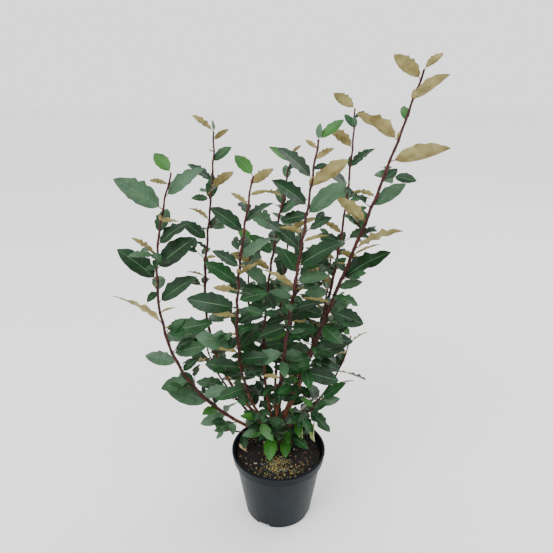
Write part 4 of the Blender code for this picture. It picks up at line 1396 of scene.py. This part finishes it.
for key, points in deal_leaves().items():
    finishes = (UPPER_SIDES[key], felt, midrib, red_stalk)
    mesh = sprayed("leaves_" + key, points, LEAF_SHAPES, finishes, SIZE_FACTOR)
    mesh.set_sharp_from_angle(angle=LEAF_CREASE)
    finished("leaves_" + key, mesh, MASSES if key == "deep" else ())

# %% [markdown]
# ## Wilted leaves
# Two pale leaves hang folded at the right of the stool, on thin bent stalks. They are placed
# one by one, because nothing else on the plant looks like them.

# %% Wilted leaves
# Each stalk's two ends and the leaf's length, in centimetres
WILTED = (((4.39, 0.30, 19.91), (4.4, 0.0, 19.5), 4.4), ((5.96, 0.30, 21.7), (6.5, 0.2, 19.4), 4.6))
WILTED_TURN = (262.0, -84.0, 20.0)
STALK_BEND = Vector((2 * MM, 0, 0))
STALK_RADII = (0.9 * MM, 0.8 * MM, 0.7 * MM)
stalk_bm = bmesh.new()
wilted_points = []
for start, end, length in WILTED:
    root, hook = Vector(start) * CM, Vector(end) * CM
    swept(stalk_bm, [root, root.lerp(hook, 0.5) + STALK_BEND, hook], STALK_RADII, TWIG_SIDES, TWIG_RELIEF)
    wilted_points.append(leaf_point(Leaf(hook, *WILTED_TURN, length * CM, False), WILTED_SHAPE))
finished("wilted_stalks", mesh_of(stalk_bm, "stalks"), finish=red_bark)
wilted = sprayed("wilted", wilted_points, LEAF_SHAPES, [wilted_green] * 3 + [red_stalk])
wilted.set_sharp_from_angle(angle=LEAF_CREASE)
finished("wilted_leaves", wilted)

# %% [markdown]
# ## Buds
# An orange-brown bud sits at every node, above the leaf. At this size a bud is a small oval
# drop, and the function that makes it makes the rounder crumbs and grains of the soil too.

# %% Buds
BUD_LENGTH = 3.6 * MM
BUD_SIZES = (0.7, 1.15)
BUD_KINDS = 4
BUD_RISE = 1.1
BUD_LIFT = 0.6
BUD_OUT = 0.6 * MM
ROUGHNESS = (0.82, 1.0)


def drop_shapes(name, count, seed, stretch):
    """Rough pebbles, or buds where the stretch is small, one unit long."""
    group = bpy.data.collections.new(name)
    rng = random.Random(seed)
    for index in range(count):
        bm = bmesh.new()
        bmesh.ops.create_icosphere(bm, subdivisions=1, radius=0.5)
        bm.faces.layers.int.new("side")
        for vert in bm.verts:
            vert.co *= rng.uniform(*ROUGHNESS)
            vert.co = Vector((vert.co.x, vert.co.y * stretch, vert.co.z * stretch))
        mesh = mesh_of(bm, name)
        mesh.polygons.foreach_set("use_smooth", [True] * len(mesh.polygons))
        group.objects.link(bpy.data.objects.new(f"{name}_{index}", mesh))
    return group


def bud_points():
    rng = random.Random(31)
    points = []
    for mass in PLANT:
        for entry, (share, place) in zip(mass.plan, mass.nodes):
            side = heading(entry[0] if entry else rng.uniform(0, 360))
            out = (side + Vector((0.0, 0.0, BUD_RISE))).normalized()
            step = Vector((out.x, out.y, BUD_LIFT)) * (stem_radius(mass.shoot, share) + BUD_OUT)
            points.append((place + step, tuple(out.to_track_quat("X", "Z").to_euler()),
                           BUD_LENGTH * rng.uniform(*BUD_SIZES), rng.randrange(BUD_KINDS)))
    return points


buds = sprayed("buds", bud_points(), drop_shapes("bud_shapes", BUD_KINDS, 3, 0.5), [bud_scales] * 4)
finished("buds", buds)

# %% [markdown]
# ## Soil
# The mix is dark peat with bits of bark, and its top is uneven and a little lower at the rim.
# A closed body carries the uneven top, and the loose crumbs are sprayed on it afterwards.

# %% Soil body
SOIL_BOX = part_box("soil")
SOIL_TOP = SOIL_BOX[1].z
SOIL_FOOT = SOIL_BOX[0].z
LEVEL_RADIUS = 48.0 * MM
EDGE_DROP = 3.5 * MM
SOIL_RADIUS = inner_radius(SOIL_TOP - EDGE_DROP) - GAP
SOIL_RINGS = 44
SOIL_SPOKES = 132
SOIL_GRAIN = 130.0
SOIL_NOISE = (0.9, 2.0, 5)
SOIL_RELIEF = 1.6 * MM
SOIL_SINK = 0.7 * MM


def soil_height(x, y):
    share = (math.hypot(x, y) - LEVEL_RADIUS) / (SOIL_RADIUS - LEVEL_RADIUS)
    level = SOIL_TOP - EDGE_DROP * min(max(share, 0.0), 1.0)
    rough = noise.fractal(Vector((x, y, 0.0)) * SOIL_GRAIN, *SOIL_NOISE)
    return level + rough * SOIL_RELIEF - SOIL_SINK


def soil_mesh():
    bm = bmesh.new()
    turns = [(math.cos(angle), math.sin(angle)) for angle in ring_angles(SOIL_SPOKES)]
    circles = []
    for ring in range(1, SOIL_RINGS + 1):
        reach = SOIL_RADIUS * ring / SOIL_RINGS
        spots = [(reach * x, reach * y) for x, y in turns]
        circles.append([bm.verts.new((*spot, soil_height(*spot))) for spot in spots])
    for height in (COLLAR_FOOT, SOIL_FOOT):
        reach = inner_radius(height) - GAP
        circles.append([bm.verts.new((reach * x, reach * y, height)) for x, y in turns])
    middle = bm.verts.new((0.0, 0.0, soil_height(0.0, 0.0)))
    for i in range(SOIL_SPOKES):
        j = (i + 1) % SOIL_SPOKES
        bm.faces.new((middle, circles[0][i], circles[0][j]))
        for near, far in zip(circles, circles[1:]):
            bm.faces.new((near[i], far[i], far[j], near[j]))
    bm.faces.new(reversed(circles[-1]))
    return mesh_of(bm, "soil_body")


finished("soil_body", soil_mesh(), ["soil"], peat)

# %% [markdown]
# ## Crumbs, grains and litter
# Crumbs and bits of bark lie everywhere. At the front lies a little heap of round slow-release
# grains, in dull yellow, olive, grey-teal and a little orange, and half of them lie scattered
# round it. A few pale bits and one dead leaf lie on the soil too. A particle system could
# strew them, but points drawn here keep the same places in every build.

# %% Crumbs, grains and litter
HEAP_SHARE = 0.5
HEAP_GRAINS = 420
# The heap and the grains round it: the middle and the spread of each, in metres
HEAP = ((-0.003, -0.030), (9 * MM, 8 * MM))
SPREAD = ((0.004, -0.050), (25 * MM, 12 * MM))
CRUMB_EDGE = 3 * MM
GRAIN_EDGE = 4 * MM
PEBBLE_KINDS = 6
SUNK_SHARE = 0.18
DRY_LEAF = (-0.058, -0.006)
DRY_LIFT = 2.5 * MM
DRY_TURN = (0.15, -0.1, 2.2)
DRY_SIZE = 2.6 * CM
DRY_SHAPE = 2


def scattered(rng, count, sizes, spot):
    """Points on the soil; spot draws each place."""
    points = []
    for _ in range(count):
        x, y = spot(rng)
        size = rng.uniform(*sizes)
        turn = tuple(rng.uniform(0.0, 2.0 * math.pi) for _ in range(3))
        place = Vector((x, y, soil_height(x, y) + size * SUNK_SHARE))
        points.append((place, turn, size, rng.randrange(PEBBLE_KINDS)))
    return points


def anywhere(rng):
    reach = (SOIL_RADIUS - CRUMB_EDGE) * math.sqrt(rng.random())
    angle = rng.uniform(0.0, 2.0 * math.pi)
    return reach * math.cos(angle), reach * math.sin(angle)


def in_heap(rng):
    while True:
        middle, spread = HEAP if rng.random() < HEAP_SHARE else SPREAD
        x, y = [middle[i] + rng.gauss(0.0, spread[i]) for i in range(2)]
        if math.hypot(x, y) < SOIL_RADIUS - GRAIN_EDGE:
            return x, y


pebbles = drop_shapes("pebble_shapes", PEBBLE_KINDS, 7, 0.86)
bark_bits = drop_shapes("bark_bit_shapes", PEBBLE_KINDS, 8, 0.42)
# What lies on the soil: its name, number, sizes, where it lies, its shapes and its finish
LITTER = [
    ("peat_crumbs", 2600, (1.2 * MM, 3.4 * MM), anywhere, pebbles, crumb),
    ("bark_chips", 150, (3.5 * MM, 8.5 * MM), anywhere, bark_bits, bark_chip),
    *[(name, round(HEAP_GRAINS * share), (2.4 * MM, 3.7 * MM), in_heap, pebbles, finish)
      for name, (share, finish) in GRAINS.items()],
    ("pale_bits", 26, (2.0 * MM, 4.5 * MM), anywhere, pebbles, pale_stone),
]
litter_rng = random.Random(77)
for name, count, sizes, spot, shapes, finish in LITTER:
    mesh = sprayed(name, scattered(litter_rng, count, sizes, spot), shapes, [finish] * 4)
    finished(name, mesh, smooth=name not in ("peat_crumbs", "bark_chips"))
dry_place = Vector((*DRY_LEAF, soil_height(*DRY_LEAF) + DRY_LIFT))
dry = sprayed("dead_leaf", [(dry_place, DRY_TURN, DRY_SIZE, DRY_SHAPE)], LEAF_SHAPES, [dead_leaf] * 4)
finished("dead_leaf", dry)
